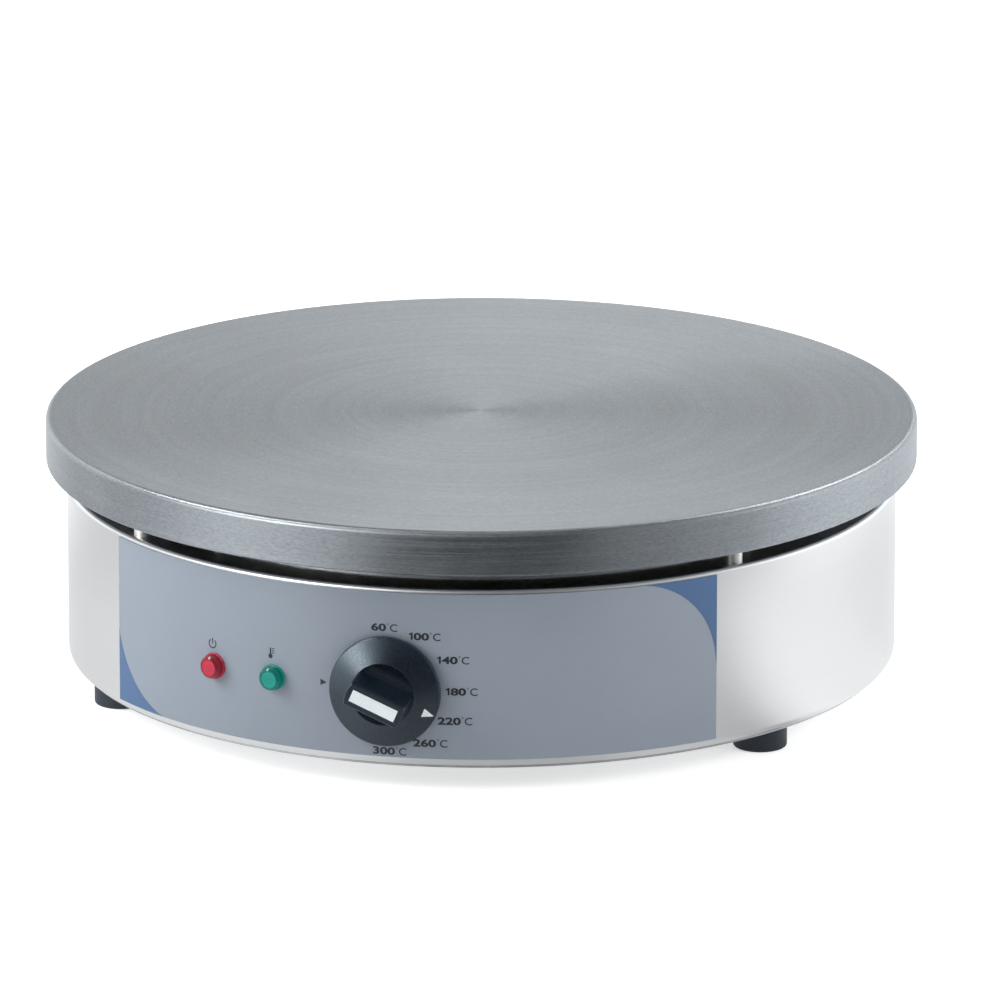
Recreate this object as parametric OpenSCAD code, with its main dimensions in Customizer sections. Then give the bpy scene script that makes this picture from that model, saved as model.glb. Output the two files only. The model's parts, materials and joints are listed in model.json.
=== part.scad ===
// Electric crepe maker: a round cast-iron griddle plate on four stand-off pins, above a
// stainless drum that holds the heater, the thermostat and the wiring, on three rubber feet.
// Origin: centre of the drum, on the surface that the feet stand on. +Z is up and the
// control panel faces -Y. A bearing is an angle round the drum, 0 at the front and
// positive towards +X. All lengths are in millimetres.

/* [Griddle plate] */
// Diameter of the cooking surface
plate_d = 400; // [370:5:450]
// Height of the plate at its rim
plate_h = 20.5; // [18:0.5:26]
// Thickness between the cooking surface and the recessed underside
plate_web = 11; // [9:0.5:12.5]
// Width of the flat land under the rim
plate_land = 25; // [22:1:30]
// Rounding of the cooking surface's edge
plate_edge = 2.5; // [1:0.5:4]
// Chamfer under the rim
plate_chamfer = 0.6; // [0.3:0.1:1.2]
// Number of radial ribs under the plate
rib_count = 8; // [4:4:8]
// Thickness of a rib
rib_t = 5; // [4:0.5:8]
// Height of a rib
rib_h = 5; // [3:0.5:6]
// Diameter of the centre boss under the plate
hub_d = 36; // [28:1:40]

/* [Heater] */
// Diameter of the tubular element
tube_d = 8.2; // [6.4:0.1:8.6]
// How deep the element sits in its groove
tube_sink = 1.3; // [0.5:0.1:2]
// Distance from the plate's edge to the outer loop
heater_inset = 50; // [45:1:56]
// Distance between the two loops
heater_pitch = 55; // [48:1:60]
// Bend radius where a leg turns down
leg_bend = 12; // [11:0.5:14]
// How far a leg reaches below the heat shield
leg_drop = 10; // [8:1:14]
// Diameter of the ceramic bead on a leg
bead_d = 12; // [11:0.5:14]
// Length of the ceramic bead
bead_h = 8; // [6:1:10]
// Length of the terminal pin below the bead
pin_l = 10; // [6:1:12]
// Thickness of a clamp bar
clamp_t = 3; // [2:0.5:4]
// Width of a clamp bar
clamp_w = 18; // [16:1:24]
// Diameter of a clamp screw
clamp_screw_d = 6; // [5:1:6]

/* [Temperature sensor] */
// Diameter of the sensor bulb
bulb_d = 6; // [5:0.5:7]
// Distance from the bulb's outer end to the heater's inner loop
bulb_gap = 10; // [8:0.5:16]
// Diameter of the capillary tube
capillary_d = 2; // [1.6:0.2:2.4]
// Width of the clip under the bulb
clip_w = 12; // [8:1:16]
// Thickness of the clip
clip_t = 1.2; // [1:0.1:1.6]

/* [Heat shield] */
// Depth of the pan below the drum's top flange
pan_depth = 15.3; // [13:0.1:17]
// Sheet thickness of the pan
pan_t = 0.8; // [0.6:0.1:1.2]
// Corner radius of the pan
pan_corner = 3; // [2:0.5:4]
// Width of the pan's rim that rests on the drum
pan_rim = 12; // [11:0.5:13]

/* [Drum] */
// How far the plate overhangs the drum
overhang = 9.5; // [8:0.5:14]
// Height of the drum
shell_h = 82.5; // [76:0.5:95]
// Gap between the drum and the plate
plate_gap = 9; // [8:0.5:14]
// Sheet thickness of the drum
shell_t = 1; // [0.8:0.1:1.2]
// Bend radius at the drum's top edge
shell_top_r = 2; // [1.5:0.5:2.5]
// Bend radius at the drum's bottom edge
shell_bottom_r = 3.5; // [2:0.5:4]
// Width of the top flange
flange_w = 28.5; // [27:0.5:30]
// Width of the bottom lip
lip_w = 12; // [11:0.5:12.5]
// Bearing of the stand-off pin at the right front, and the rear left pin stands opposite
pin_right = 50.7; // [45:0.1:52]
// Bearing of the stand-off pin at the left front, and the rear right pin stands opposite
pin_left = -43.3; // [-48:0.1:-38]
// Diameter of a stand-off spacer
spacer_d = 7.8; // [7:0.1:8.4]
// Distance from the drum's outside to the stand-off pins
pin_inset = 6.5; // [6.5:0.1:8]
// Diameter of the studs in the stand-off pins
stud_d = 5; // [4:0.5:5]

/* [Base and feet] */
// Sheet thickness of the base plate
base_t = 1.2; // [1:0.1:2]
// How far the middle of the base plate is raised
base_raise = 3; // [2:0.5:4]
// Number of ventilation slots
vent_count = 24; // [12:2:28]
// Width of a ventilation slot
vent_w = 4; // [3:0.5:5]
// Length of a ventilation slot
vent_l = 34; // [20:1:36]
// Distance from the centre to the inner end of a ventilation slot
vent_start = 45; // [45:1:55]
// Height of a foot
foot_h = 10.8; // [9:0.1:16]
// Diameter of a foot
foot_d = 24.5; // [22:0.5:25]
// Distance from the drum's outside to the centre of a foot
foot_inset = 17.5; // [17:0.5:22]
// Bearing of the front feet
foot_bearing = 59.5; // [55:0.5:65]

/* [Control panel] */
// Angle that the panel covers
panel_angle = 92.5; // [80:0.5:110]
// Thickness of the printed film
panel_t = 0.5; // [0.3:0.1:0.8]
// Strip of bare drum above the panel
panel_top = 2.1; // [2.1:0.1:6]
// Strip of bare drum below the panel
panel_bottom = 3.8; // [3.6:0.1:8]
// Height of the knob and the lamps above the drum's bottom edge
control_h = 35; // [31:0.5:38]
// Bearing of the red lamp
power_bearing = -25.9; // [-30:0.1:-23]
// Bearing of the green lamp
ready_bearing = -16.3; // [-18:0.1:-15]

/* [Knob] */
// Diameter of the knob's skirt
knob_d = 50.6; // [46:0.2:54]
// Height of the knob
knob_h = 24; // [20:0.5:28]
// Height of the straight band round the skirt
knob_band = 2.5; // [2:0.1:3.5]
// Height of the dished hub, where the skirt's cone ends
knob_hub_h = 7; // [6:0.5:9]
// Diameter of the dished hub
knob_hub_d = 29; // [28:0.2:31]
// Width of the grip bar
grip_w = 11; // [10:0.2:13]
// Length of the grip bar
grip_l = 28; // [26:0.2:28]
// Wall of the skirt
knob_wall = 2.2; // [1.8:0.1:2.6]
// Gap between the knob and the panel
knob_gap = 1; // [0.5:0.1:2]
// Width of the white inlay
inlay_w = 5.6; // [4:0.2:6.4]
// Length of the white inlay
inlay_l = 22; // [16:0.5:23]
// Depth of the inlay's pocket
inlay_depth = 1; // [0.6:0.1:1.4]
// Length of the pointer on the skirt
pointer_l = 4.8; // [3.5:0.1:5]
// Width of the pointer
pointer_w = 4.2; // [3:0.1:5]
// Angle at which the knob stands, clockwise from the top
knob_turn = 113; // [-90:1:180]

/* [Thermostat] */
// Diameter of the shaft
shaft_d = 6; // [5:0.5:6.5]
// Clearance round the turning shaft
shaft_gap = 0.05; // [0.02:0.01:0.1]
// Width of the thermostat
thermostat_w = 42; // [38:1:46]
// Depth of the housing
thermostat_l = 27; // [24:1:34]
// Thickness of the mounting plate at its middle
mount_t = 6; // [5:0.5:8]
// Diameter of the neck round the shaft
neck_d = 9.6; // [9:0.1:11]
// Distance between the two fixing screws
fixing_pitch = 28; // [27:0.5:30]
// Diameter of the fixing screws
fixing_d = 4; // [3:0.5:4]

/* [Pilot lamps] */
// Diameter of a lamp's body
lamp_d = 9.8; // [8:0.1:10]
// Diameter of the lens's flange
lens_flange_d = 12; // [11.4:0.1:13]
// Diameter of the lens's cap
lens_cap_d = 10.2; // [9:0.1:10.8]
// Height of the lens
lens_h = 5; // [4:0.1:7]
// Length of the lamp's body
lamp_l = 24; // [18:1:28]

/* [Cable gland] */
// Height of the gland above the drum's bottom edge
gland_h = 28; // [26:0.5:34]
// Diameter of the gland's thread
gland_d = 20; // [18:0.5:20]
// Width across the flats of the gland
gland_flats = 25; // [24:0.5:27]
// Diameter of the hole for the cable
cable_d = 9; // [7:0.5:10]
// Thickness of the hexagon against the drum
gland_hex = 6; // [5:0.5:8]
// Length of the threaded nose under the cap
gland_nose = 13; // [10:0.5:14]
// Length of the stem inside the drum
gland_stem = 13; // [11:0.5:15]

/* [Wiring] */
// Width of the terminal block
block_w = 54; // [48:1:60]
// Depth of the terminal block
block_l = 22; // [18:1:26]
// Height of the terminal block
block_h = 20; // [18:1:22]
// Distance from the edge of the base's raised middle to the terminal block's middle
block_inset = 36; // [32:1:40]
// Diameter of an internal lead
wire_d = 3; // [2:0.2:3.4]

/* [Hidden] */
$fn = 96;

// Clearances
snug = 0.05;      // a screw or pin in its own hole
loose = 0.3;      // a piece that passes through a wider hole
cut = 1;          // how far a cut runs past a face
spare = 1;        // how much deeper a blind hole is than what it holds

// Screws and nuts
hex = 2 / sqrt(3);           // across corners for each unit across flats
nut_slope = 1.7;             // run of a nut's turned corners for each unit of height
nut_h = 4;
drive_w = 0.45;              // width of a screw's recess for each unit of its head's diameter
drive_depth = 0.55;          // depth of the recess for each unit of the head's height
head_w = 1.8;                // width of a pan head for each unit of the screw's diameter
head_t = 0.6;                // height of a pan head for each unit of the screw's diameter
flat_under = 0.2;            // sheet left under a flat head

// Levels, from the floor up
shell_z0 = foot_h + base_t;
shell_z1 = shell_z0 + shell_h;
plate_z0 = shell_z1 + plate_gap;
plate_z1 = plate_z0 + plate_h;
web_z = plate_z1 - plate_web;
rib_z = web_z - rib_h;
tube_z = web_z + tube_sink - tube_d / 2;
clamp_z1 = tube_z - tube_d / 2;
clamp_z0 = clamp_z1 - clamp_t;
clamp_head_h = 4;
insulation_air = 1;
insulation_z1 = clamp_z0 - clamp_head_h - insulation_air;
pan_floor_z = shell_z1 - pan_depth + pan_t;
control_z = shell_z0 + control_h;
gland_z = shell_z0 + gland_h;
floor_z = foot_h + base_raise + base_t;   // top of the base plate's raised middle

// Radii, from the plate's edge in
plate_r = plate_d / 2;
shell_r = plate_r - overhang;
shell_in = shell_r - shell_t;
flange_r = shell_r - flange_w;
pin_r = shell_r - pin_inset;
foot_r = shell_r - foot_inset;
panel_r = shell_r + panel_t;
loop_out = plate_r - heater_inset;
loop_in = loop_out - heater_pitch;
loop_mid = (loop_out + loop_in) / 2;
recess_r = plate_r - plate_land;
recess_draft = 2;            // how far the recess narrows towards the web
pan_gap = 2.4;
pan_r = flange_r - pan_gap;
insulation_r = pan_r - pan_t - pan_corner + 0.4;

// Heater: both loops end at leg_angle, and the return bend joins them at turn_angle
leg_angle = 112;
turn_angle = 68;
turn_r = (loop_out - loop_in) / 2;
groove_gap = 0.1;
clamp_screw_l = 14;
slot_side = 3;               // room beside the element where it crosses a rib
rib_start = hub_d / 2 - 1;
clamp_angles = [45, 135, 225, 315];
boss_d = 16;
boss_gap = 0.2;
clamp_reach = 8;             // how far a clamp bar runs past each loop
leg_z0 = pan_floor_z - pan_t - leg_drop;
leg_room = 2;                // how much wider the holes round a leg are
bead_chamfer = 1;
pin_d = 4;

// Temperature sensor
bulb_sink = 1.5;             // how deep the bulb sits in its groove
bulb_z = web_z - bulb_d / 2 + bulb_sink;
bulb_taper = 1;
bulb_start = hub_d / 2 + 5;  // the bulb spans from the hub to the inner loop
bulb_l = loop_in - tube_d / 2 - bulb_gap - bulb_start;
clip_back = 17;              // from the bulb's outer end to the clip
clip_ear = 12;               // length of a clip's flat ear
clip_edge = 5;               // from the ear's end to its screw
clip_y = bulb_start + bulb_l - clip_back;
clip_end = bulb_d / 2 + clip_ear;
clip_screw_x = clip_end - clip_edge;
clip_screw_d = 4;
clip_screw_l = 6;
capillary_y = bulb_start + bulb_l + 6;
capillary_room = 2;          // how much wider the holes round the capillary are

// Plate fixings
pin_bearings = [pin_left, pin_right, pin_left + 180, pin_right + 180];
stud_depth = 10;
washer_d = 9;
washer_t = 1;
stud_tail = 2.5;
stud_z0 = shell_z1 - shell_t - washer_t - nut_h - stud_tail;

// Heat shield fixings
shield_bearings = [for (i = [0:3]) -32 + 90 * i];
shield_screw_d = 3.5;
shield_screw_l = 8;
shield_screw_r = flange_r + 5;

// Base
base_r = shell_r - shell_bottom_r;
base_rim = 41;               // width of the flat rim that carries the feet
base_ramp = 6;               // width of the step up to the raised middle
raised_r = base_r - base_rim - base_ramp;
base_screw_r = base_r - 4.5;
base_screw_tail = 3;
base_screw_bearings = [for (i = [0:5]) 30 + 60 * i];
base_screw_d = 4;
flat_h = base_t - flat_under;   // height of a base screw's flat head
foot_screw_d = 5;
foot_recess_d = 13;
foot_web = 4;
foot_edge = 1.5;             // rounding of a foot's bottom edge
foot_bearings = [-foot_bearing, foot_bearing, 180];

// Panel
panel_z0 = shell_z0 + panel_bottom;
panel_z1 = shell_z1 - panel_top;
shaft_hole_d = neck_d + 2 * loose;
lamp_hole_d = lamp_d + loose;

// Knob, measured outwards from its back
knob_r = knob_d / 2;
hub_r = knob_hub_d / 2;
knob_back = panel_r + knob_gap;
band_edge = 0.4;             // rounding of the band's front edge
cone_r = knob_r - band_edge; // where the cone starts
cone_h = knob_band + 0.2;
dish_r = 6.5;
dish_depth = 1.8;
dish_x = 9.5;                // from the grip's middle to the centre of each hollow
hub_lip = 0.4;
hollow_h = knob_band - 0.5;  // straight part of the space behind the skirt
socket_d = 13;
socket_depth = 16;
grip_edge = 0.8;
grip_draft = 0.4;
pointer_t = 0.3;
pointer_tip = knob_r - 0.8;
inlay_proud = 0.2;
neck_out = 1.5;              // how far the thermostat's neck reaches into the knob
neck_room = 0.6;             // space round the neck in the knob

// Thermostat, measured inwards from the drum's wall
mount_back = shell_in - mount_t;
housing_back = mount_back - thermostat_l;
collar_d = 9;
collar_t = 2.4;
collar_room = 0.3;
shaft_in = 12;               // how far the shaft runs inside the housing
shaft_z0 = mount_back - shaft_in - knob_back;
shaft_z1 = socket_depth - 0.5;
collar_z = mount_back - collar_room - collar_t - knob_back;
mount_corner = 5;
housing_inset = 1;           // how far the housing stands in from the mounting plate
housing_back_t = 2;          // raised pad that carries the tabs
fin_t = 2;
fin_pitch = 10;
fin_end = 4;                 // from a fin's end to the housing's end
ferrule_d = 8;
ferrule_l = 5;
ferrule_up = 10;             // how far the ferrule sits above the shaft
ferrule_z = control_z + ferrule_up;
ferrule_tip = housing_back - housing_back_t - ferrule_l;   // radius at its inner end
tab_w = 6.3;
tab_t = 0.8;
tab_l = 10;
tab_x = 9;
tab_z = 8;
tab_r = housing_back - housing_back_t - tab_l;   // radius at the tabs' inner ends
fixing_face = sqrt(pow(panel_r, 2) - pow((fixing_pitch - fixing_d * head_w) / 2, 2));

// Lamps
lamp_nut_h = 4;
lamp_nut_flats = 14;
lamp_nut_face = sqrt(pow(shell_in, 2) - pow(lamp_nut_flats * hex / 2, 2));
lens_flange_t = 1.1;
lens_edge = 0.3;             // rounding of the flange
lens_slope = 0.9;            // width and height of the cap's turned edge
lens_wall = 1.1;
lamp_back = panel_r - lamp_l;
lamp_heel = 2;               // length of the tapered end that carries the tabs
lamp_tab_w = 2.8;
lamp_tab_t = 0.5;
lamp_tab_l = 8;
lamp_tab_x = 2.6;
lamp_tip = lamp_back - lamp_heel - lamp_tab_l;   // radius at the tabs' inner ends

// Gland, measured outwards from the drum
gland_nut_h = 4.5;
gland_nut_face = sqrt(pow(shell_in, 2) - pow(gland_flats * hex / 2, 2));
seal_d = cable_d + 4;
seal_l = gland_hex + gland_nose;
cap_gap = 0.5;               // between the body's hexagon and the cap
cap_skirt = 9;               // height of the cap's hexagon
cap_lap = 1;                 // how deep the cap's cone starts inside its hexagon
cap_wall = 2;
cap_mouth = 9;               // how much wider the cap's face is than the cable
cap_h = gland_nose - cap_gap + loose + cap_wall;
nose_d = gland_d - 1.4;

// Terminal block
block_y = raised_r - block_inset;
sleeve_d = 8;
sleeve_pitch = 16;
sleeve_z = floor_z + block_h / 2;
sleeve_hole = wire_d + 0.6;
block_screw_d = 3.5;
block_ear = 9;               // width of the ears that the block is screwed down by
block_ear_t = 5;
block_screw_x = block_w / 2 + block_ear / 2;
block_step = 1;              // how far the block's top is set in
block_groove = 1.5;
clamp_hole_d = 5;            // hole above a clamping screw
clamp_pin_d = 3;
clamp_pin_head = 4.4;
earth_x = 46;
earth_y = block_y + 6;
earth_d = 5;
earth_head_d = 8;
earth_head_h = 1.2;
earth_l = 12;

// Wiring
wire_gap = 0.3;              // from the end of a lead to what it feeds
wire_low = floor_z + wire_d / 2 + 0.2;
run_x = 34;                  // how far to the side the long leads cross the middle
run_back = 30;
run_front = 60;
lead_straight = 14;          // straight run at each end of a lamp lead
bundle_x = 44;               // where the lamp leads run together
bundle_y = 40;
bundle_pitch = 4;
sleeve_front = block_y - block_l / 2;
pin_tip_z = leg_z0 - bead_h - pin_l - tab_l;
lamp_wire_d = 1.6;
lamp_wire_x = 1.2;           // from a tab's middle to each lamp lead on it

// Places round the drum
module bearing(a) rotate([0, 0, a]) children();
// Turns a piece so that its +Z points out of the drum and its +Y points up
module outward(a, r, z) rotate([0, 0, a]) translate([0, -r, z]) rotate([90, 0, 0]) children();

// A hexagon nut or head with its corners turned off on top
module hexagon(flats, h, hole = 0) {
    difference() {
        intersection() {
            cylinder(d = flats * hex, h = h, $fn = 6);
            cylinder(r1 = flats / 2 + h * nut_slope, r2 = flats / 2, h = h);
        }
        if (hole > 0) translate([0, 0, -cut]) cylinder(d = hole, h = h + 2 * cut);
    }
}

// A pan-head screw pointing up, its head below z = 0
module pan_screw(d, l) {
    head_d = d * head_w;
    head_h = d * head_t;
    cylinder(d = d, h = l);
    translate([0, 0, -head_h]) difference() {
        rotate_extrude() intersection() {
            union() {
                square([head_d / 2 - head_h / 2, head_h]);
                translate([head_d / 2 - head_h / 2, head_h / 2]) circle(head_h / 2);
                translate([0, head_h / 2]) square([head_d / 2, head_h / 2]);
            }
            square([head_d, head_h]);
        }
        translate([0, 0, -cut])
            cylinder(d = head_d * drive_w, h = head_h * drive_depth + cut, $fn = 6);
    }
}

// A flat-head screw pointing up, its head's face on z = 0
module flat_screw(d, h, l) difference() {
    rotate_extrude() polygon([[0, 0], [d / 2 + h, 0], [d / 2, h], [d / 2, l], [0, l]]);
    translate([0, 0, -cut])
        cylinder(d = (d + 2 * h) * drive_w, h = h * drive_depth + cut, $fn = 6);
}

// The hole for a flat-head screw, wider round the shank only
module flat_hole(d, h, l) rotate_extrude()
    polygon([[0, -cut], [d / 2 + h + cut, -cut], [d / 2 + snug, h - snug], [d / 2 + snug, l], [0, l]]);

// Quarter of a bent sheet, seen in section, its centre at the origin
module bend(r_out, t) intersection() {
    difference() {
        circle(r_out);
        circle(r_out - t);
    }
    square(r_out + cut);
}

// Centre lines of wires: corner cutting rounds a short list of points
function soften(p) = concat([p[0]],
    [for (i = [0:len(p) - 2]) each [p[i] * 0.75 + p[i + 1] * 0.25, p[i] * 0.25 + p[i + 1] * 0.75]],
    [p[len(p) - 1]]);
function unit(v) = v / norm(v);
function heading(p, i) = unit(p[min(i + 1, len(p) - 1)] - p[max(i - 1, 0)]);

// A round lead along a list of points; "across" is never parallel to the lead
module lead(route, d, across, sides = 8) {
    p = soften(soften(route));
    rings = [for (i = [0:len(p) - 1])
        let (t = heading(p, i), u = unit(cross(t, across)), v = cross(t, u))
        for (k = [0:sides - 1])
            p[i] + d / 2 * (cos(360 * k / sides) * u + sin(360 * k / sides) * v)];
    last = (len(p) - 1) * sides;
    polyhedron(rings, concat(
        [[for (k = [0:sides - 1]) sides - 1 - k]],
        [for (i = [0:len(p) - 2]) for (k = [0:sides - 1]) let (
                a = i * sides + k, b = i * sides + (k + 1) % sides)
            each [[a, b, b + sides], [a, b + sides, a + sides]]],
        [[for (k = [0:sides - 1]) last + k]]));
}

// ---- Griddle plate and what fastens it ----

module plate_section() {
    difference() {
        union() {
            translate([0, plate_z0]) square([plate_r - plate_edge, plate_h]);
            translate([0, plate_z0]) square([plate_r, plate_h - plate_edge]);
            translate([plate_r - plate_edge, plate_z1 - plate_edge]) circle(plate_edge);
        }
        polygon([[-cut, plate_z0 - cut], [recess_r, plate_z0 - cut], [recess_r, plate_z0],
            [recess_r - recess_draft, web_z], [-cut, web_z]]);
        polygon([[plate_r - plate_chamfer, plate_z0], [plate_r + cut, plate_z0 - cut],
            [plate_r + cut, plate_z0 + plate_chamfer + cut], [plate_r, plate_z0 + plate_chamfer]]);
    }
}

// Path of the element at any tube diameter: two loops and the return bend. The
// section is turned a quarter so that its start lies on top of the tube.
module heater_path(d) {
    sweep = 360 - (leg_angle - turn_angle);
    for (r = [loop_in, loop_out])
        rotate([0, 0, leg_angle]) rotate_extrude(angle = sweep) translate([r, 0]) rotate(90) circle(d = d);
    rotate([0, 0, turn_angle]) translate([loop_mid, 0, 0])
        rotate_extrude(angle = 180) translate([turn_r, 0]) rotate(90) circle(d = d);
}

module ribs() difference() {
    for (i = [0:rib_count - 1]) rotate([0, 0, (i + 0.5) * 360 / rib_count])
        translate([rib_start, -rib_t / 2, rib_z]) cube([recess_r - rib_start, rib_t, rib_h + cut]);
    for (r = [loop_in, loop_out]) translate([0, 0, rib_z - cut]) difference() {
        cylinder(r = r + tube_d / 2 + slot_side, h = rib_h + cut);
        translate([0, 0, -cut]) cylinder(r = r - tube_d / 2 - slot_side, h = rib_h + 3 * cut);
    }
    rotate([0, 0, turn_angle]) translate([loop_mid, 0, rib_z - cut])
        cylinder(r = turn_r + tube_d / 2 + slot_side, h = rib_h + cut);
    rotate([0, 0, leg_angle]) translate([loop_mid, 0, rib_z - cut])
        cylinder(r = turn_r + tube_d / 2 + slot_side, h = rib_h + cut);
}

module griddle_plate() color("dimgray") difference() {
    union() {
        rotate_extrude() plate_section();
        ribs();
        translate([0, 0, rib_z]) cylinder(d = hub_d, h = rib_h + cut);
        for (a = clamp_angles) rotate([0, 0, a]) translate([loop_mid, 0, clamp_z1 + boss_gap])
            cylinder(d = boss_d, h = web_z + cut - clamp_z1 - boss_gap);
    }
    translate([0, 0, tube_z]) heater_path(tube_d + 2 * groove_gap);
    for (r = [loop_in, loop_out]) at_leg(r) translate([0, 0, tube_z]) rotate([-90, 0, 0])
        cylinder(d = tube_d + 2 * groove_gap, h = leg_bend);
    for (a = clamp_angles) rotate([0, 0, a]) translate([loop_mid, 0, clamp_z1 - cut])
        cylinder(d = clamp_screw_d + 2 * snug, h = clamp_screw_l - clamp_t + cut + spare);
    for (a = pin_bearings) bearing(a) translate([0, -pin_r, plate_z0 - cut])
        cylinder(d = stud_d + 2 * snug, h = stud_depth + cut + spare);
    translate([0, -bulb_start + spare, bulb_z]) rotate([90, 0, 0])
        cylinder(d = bulb_d + 2 * groove_gap, h = bulb_l + 2 * spare);
    for (x = [-clip_screw_x, clip_screw_x]) translate([x, -clip_y, web_z - cut])
        cylinder(d = clip_screw_d + 2 * snug, h = clip_screw_l + cut);
}

module plate_studs() color("silver") for (a = pin_bearings) bearing(a)
    translate([0, -pin_r, stud_z0]) cylinder(d = stud_d, h = plate_z0 + stud_depth - stud_z0);

module plate_spacers() color("gainsboro") for (a = pin_bearings) bearing(a)
    translate([0, -pin_r, shell_z1]) difference() {
        cylinder(d = spacer_d, h = plate_gap);
        translate([0, 0, -cut]) cylinder(d = stud_d + 2 * snug, h = plate_gap + 2 * cut);
    }

module plate_washers() color("silver") for (a = pin_bearings) bearing(a)
    translate([0, -pin_r, shell_z1 - shell_t - washer_t]) difference() {
        cylinder(d = washer_d, h = washer_t);
        translate([0, 0, -cut]) cylinder(d = stud_d + 2 * snug, h = washer_t + 2 * cut);
    }

module plate_nuts() color("silver") for (a = pin_bearings) bearing(a)
    translate([0, -pin_r, shell_z1 - shell_t - washer_t]) mirror([0, 0, 1])
        hexagon(washer_d - 1, nut_h, stud_d + 2 * snug);

// ---- Heater ----

// Puts a piece where a leg runs down, its +Z up and its origin on the leg's axis at z = 0
module at_leg(r) rotate([0, 0, leg_angle]) translate([r, -leg_bend, 0]) children();

module heating_element() color("darkslategray") {
    union() {
        translate([0, 0, tube_z]) heater_path(tube_d);
        for (r = [loop_in, loop_out]) {
            rotate([0, 0, leg_angle]) translate([r, 0, tube_z - leg_bend]) rotate([0, -90, 0])
                rotate([0, 0, -90]) rotate_extrude(angle = 90) translate([leg_bend, 0]) circle(d = tube_d);
            at_leg(r) translate([0, 0, leg_z0]) cylinder(d = tube_d, h = tube_z - leg_bend - leg_z0);
        }
    }
}

module element_beads() color("ivory") for (r = [loop_in, loop_out]) at_leg(r)
    translate([0, 0, leg_z0 - bead_h]) difference() {
        union() {
            translate([0, 0, bead_chamfer]) cylinder(d = bead_d, h = bead_h - bead_chamfer);
            cylinder(d1 = bead_d - 2 * bead_chamfer, d2 = bead_d, h = bead_chamfer);
        }
        translate([0, 0, -cut]) cylinder(d = pin_d + 2 * snug, h = bead_h + 2 * cut);
    }

module element_pins() color("silver") for (r = [loop_in, loop_out]) at_leg(r) {
    translate([0, 0, leg_z0 - bead_h - pin_l]) cylinder(d = pin_d, h = bead_h + pin_l);
    translate([-tab_w / 2, -tab_t / 2, pin_tip_z]) cube([tab_w, tab_t, tab_l]);
}

module element_clamps() color("slategray") for (a = clamp_angles) rotate([0, 0, a])
    translate([0, 0, clamp_z0]) difference() {
        union() {
            translate([loop_in - clamp_reach, -clamp_w / 2, 0])
                cube([heater_pitch + 2 * clamp_reach, clamp_w, clamp_t]);
            for (x = [loop_in - clamp_reach, loop_out + clamp_reach])
                translate([x, 0, 0]) cylinder(d = clamp_w, h = clamp_t);
        }
        translate([loop_mid, 0, -cut]) cylinder(d = clamp_screw_d + 2 * loose, h = clamp_t + 2 * cut);
        for (r = [loop_in, loop_out]) translate([0, 0, clamp_t + tube_d / 2]) rotate_extrude()
            translate([r, 0]) circle(d = tube_d + 2 * groove_gap);
    }

module clamp_screws() color("silver") for (a = clamp_angles) rotate([0, 0, a])
    translate([loop_mid, 0, clamp_z0]) {
        cylinder(d = clamp_screw_d, h = clamp_screw_l);
        mirror([0, 0, 1]) hexagon(clamp_screw_d + 4, clamp_head_h);
    }

// ---- Temperature sensor ----

module sensor_bulb() color("peru") translate([0, -bulb_start, bulb_z]) rotate([90, 0, 0]) {
    translate([0, 0, bulb_taper]) cylinder(d = bulb_d, h = bulb_l - 2 * bulb_taper);
    cylinder(d1 = bulb_d - 2 * bulb_taper, d2 = bulb_d, h = bulb_taper);
    translate([0, 0, bulb_l - bulb_taper]) cylinder(d1 = bulb_d, d2 = bulb_d / 2, h = bulb_taper);
}

module capillary_tube() color("peru") lead([
    [0, -bulb_start - bulb_l, bulb_z],
    [0, -bulb_start - bulb_l - 5, bulb_z],
    [0, -capillary_y, bulb_z - 3],
    [0, -capillary_y, insulation_z1],
    [0, -capillary_y, pan_floor_z - pan_t - 1],
    [0, -capillary_y - 3, pan_floor_z - pan_t - 4],
    [0, -ferrule_tip + 22, ferrule_z + 2],
    [0, -ferrule_tip + 10, ferrule_z],
    [0, -ferrule_tip, ferrule_z]], capillary_d, [1, 0, 0]);

module sensor_clip() color("silver") difference() {
    union() {
        translate([-clip_end, -clip_y - clip_w / 2, web_z - clip_t]) cube([2 * clip_end, clip_w, clip_t]);
        translate([0, -clip_y + clip_w / 2, bulb_z]) rotate([90, 0, 0])
            cylinder(r = bulb_d / 2 + clip_t, h = clip_w);
    }
    translate([0, -clip_y + clip_w, bulb_z]) rotate([90, 0, 0])
        cylinder(d = bulb_d, h = 2 * clip_w);
    translate([-bulb_d, -clip_y - clip_w, web_z]) cube([2 * bulb_d, 2 * clip_w, bulb_d]);
    for (x = [-clip_screw_x, clip_screw_x]) translate([x, -clip_y, web_z - clip_t - cut])
        cylinder(d = clip_screw_d + 2 * snug, h = clip_t + 2 * cut);
}

module clip_screws() color("silver") for (x = [-clip_screw_x, clip_screw_x])
    translate([x, -clip_y, web_z - clip_t]) pan_screw(clip_screw_d, clip_t + clip_screw_l - spare);

// ---- Insulation and heat shield ----

module leg_holes(z, h, d) for (r = [loop_in, loop_out]) at_leg(r) translate([0, 0, z]) cylinder(d = d, h = h);

module insulation_blanket() color("whitesmoke") difference() {
    translate([0, 0, pan_floor_z]) cylinder(r = insulation_r, h = insulation_z1 - pan_floor_z);
    leg_holes(pan_floor_z - cut, insulation_z1 - pan_floor_z + 2 * cut, tube_d + leg_room);
    translate([0, -capillary_y, pan_floor_z - cut])
        cylinder(d = capillary_d + capillary_room, h = insulation_z1 - pan_floor_z + 2 * cut);
}

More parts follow.
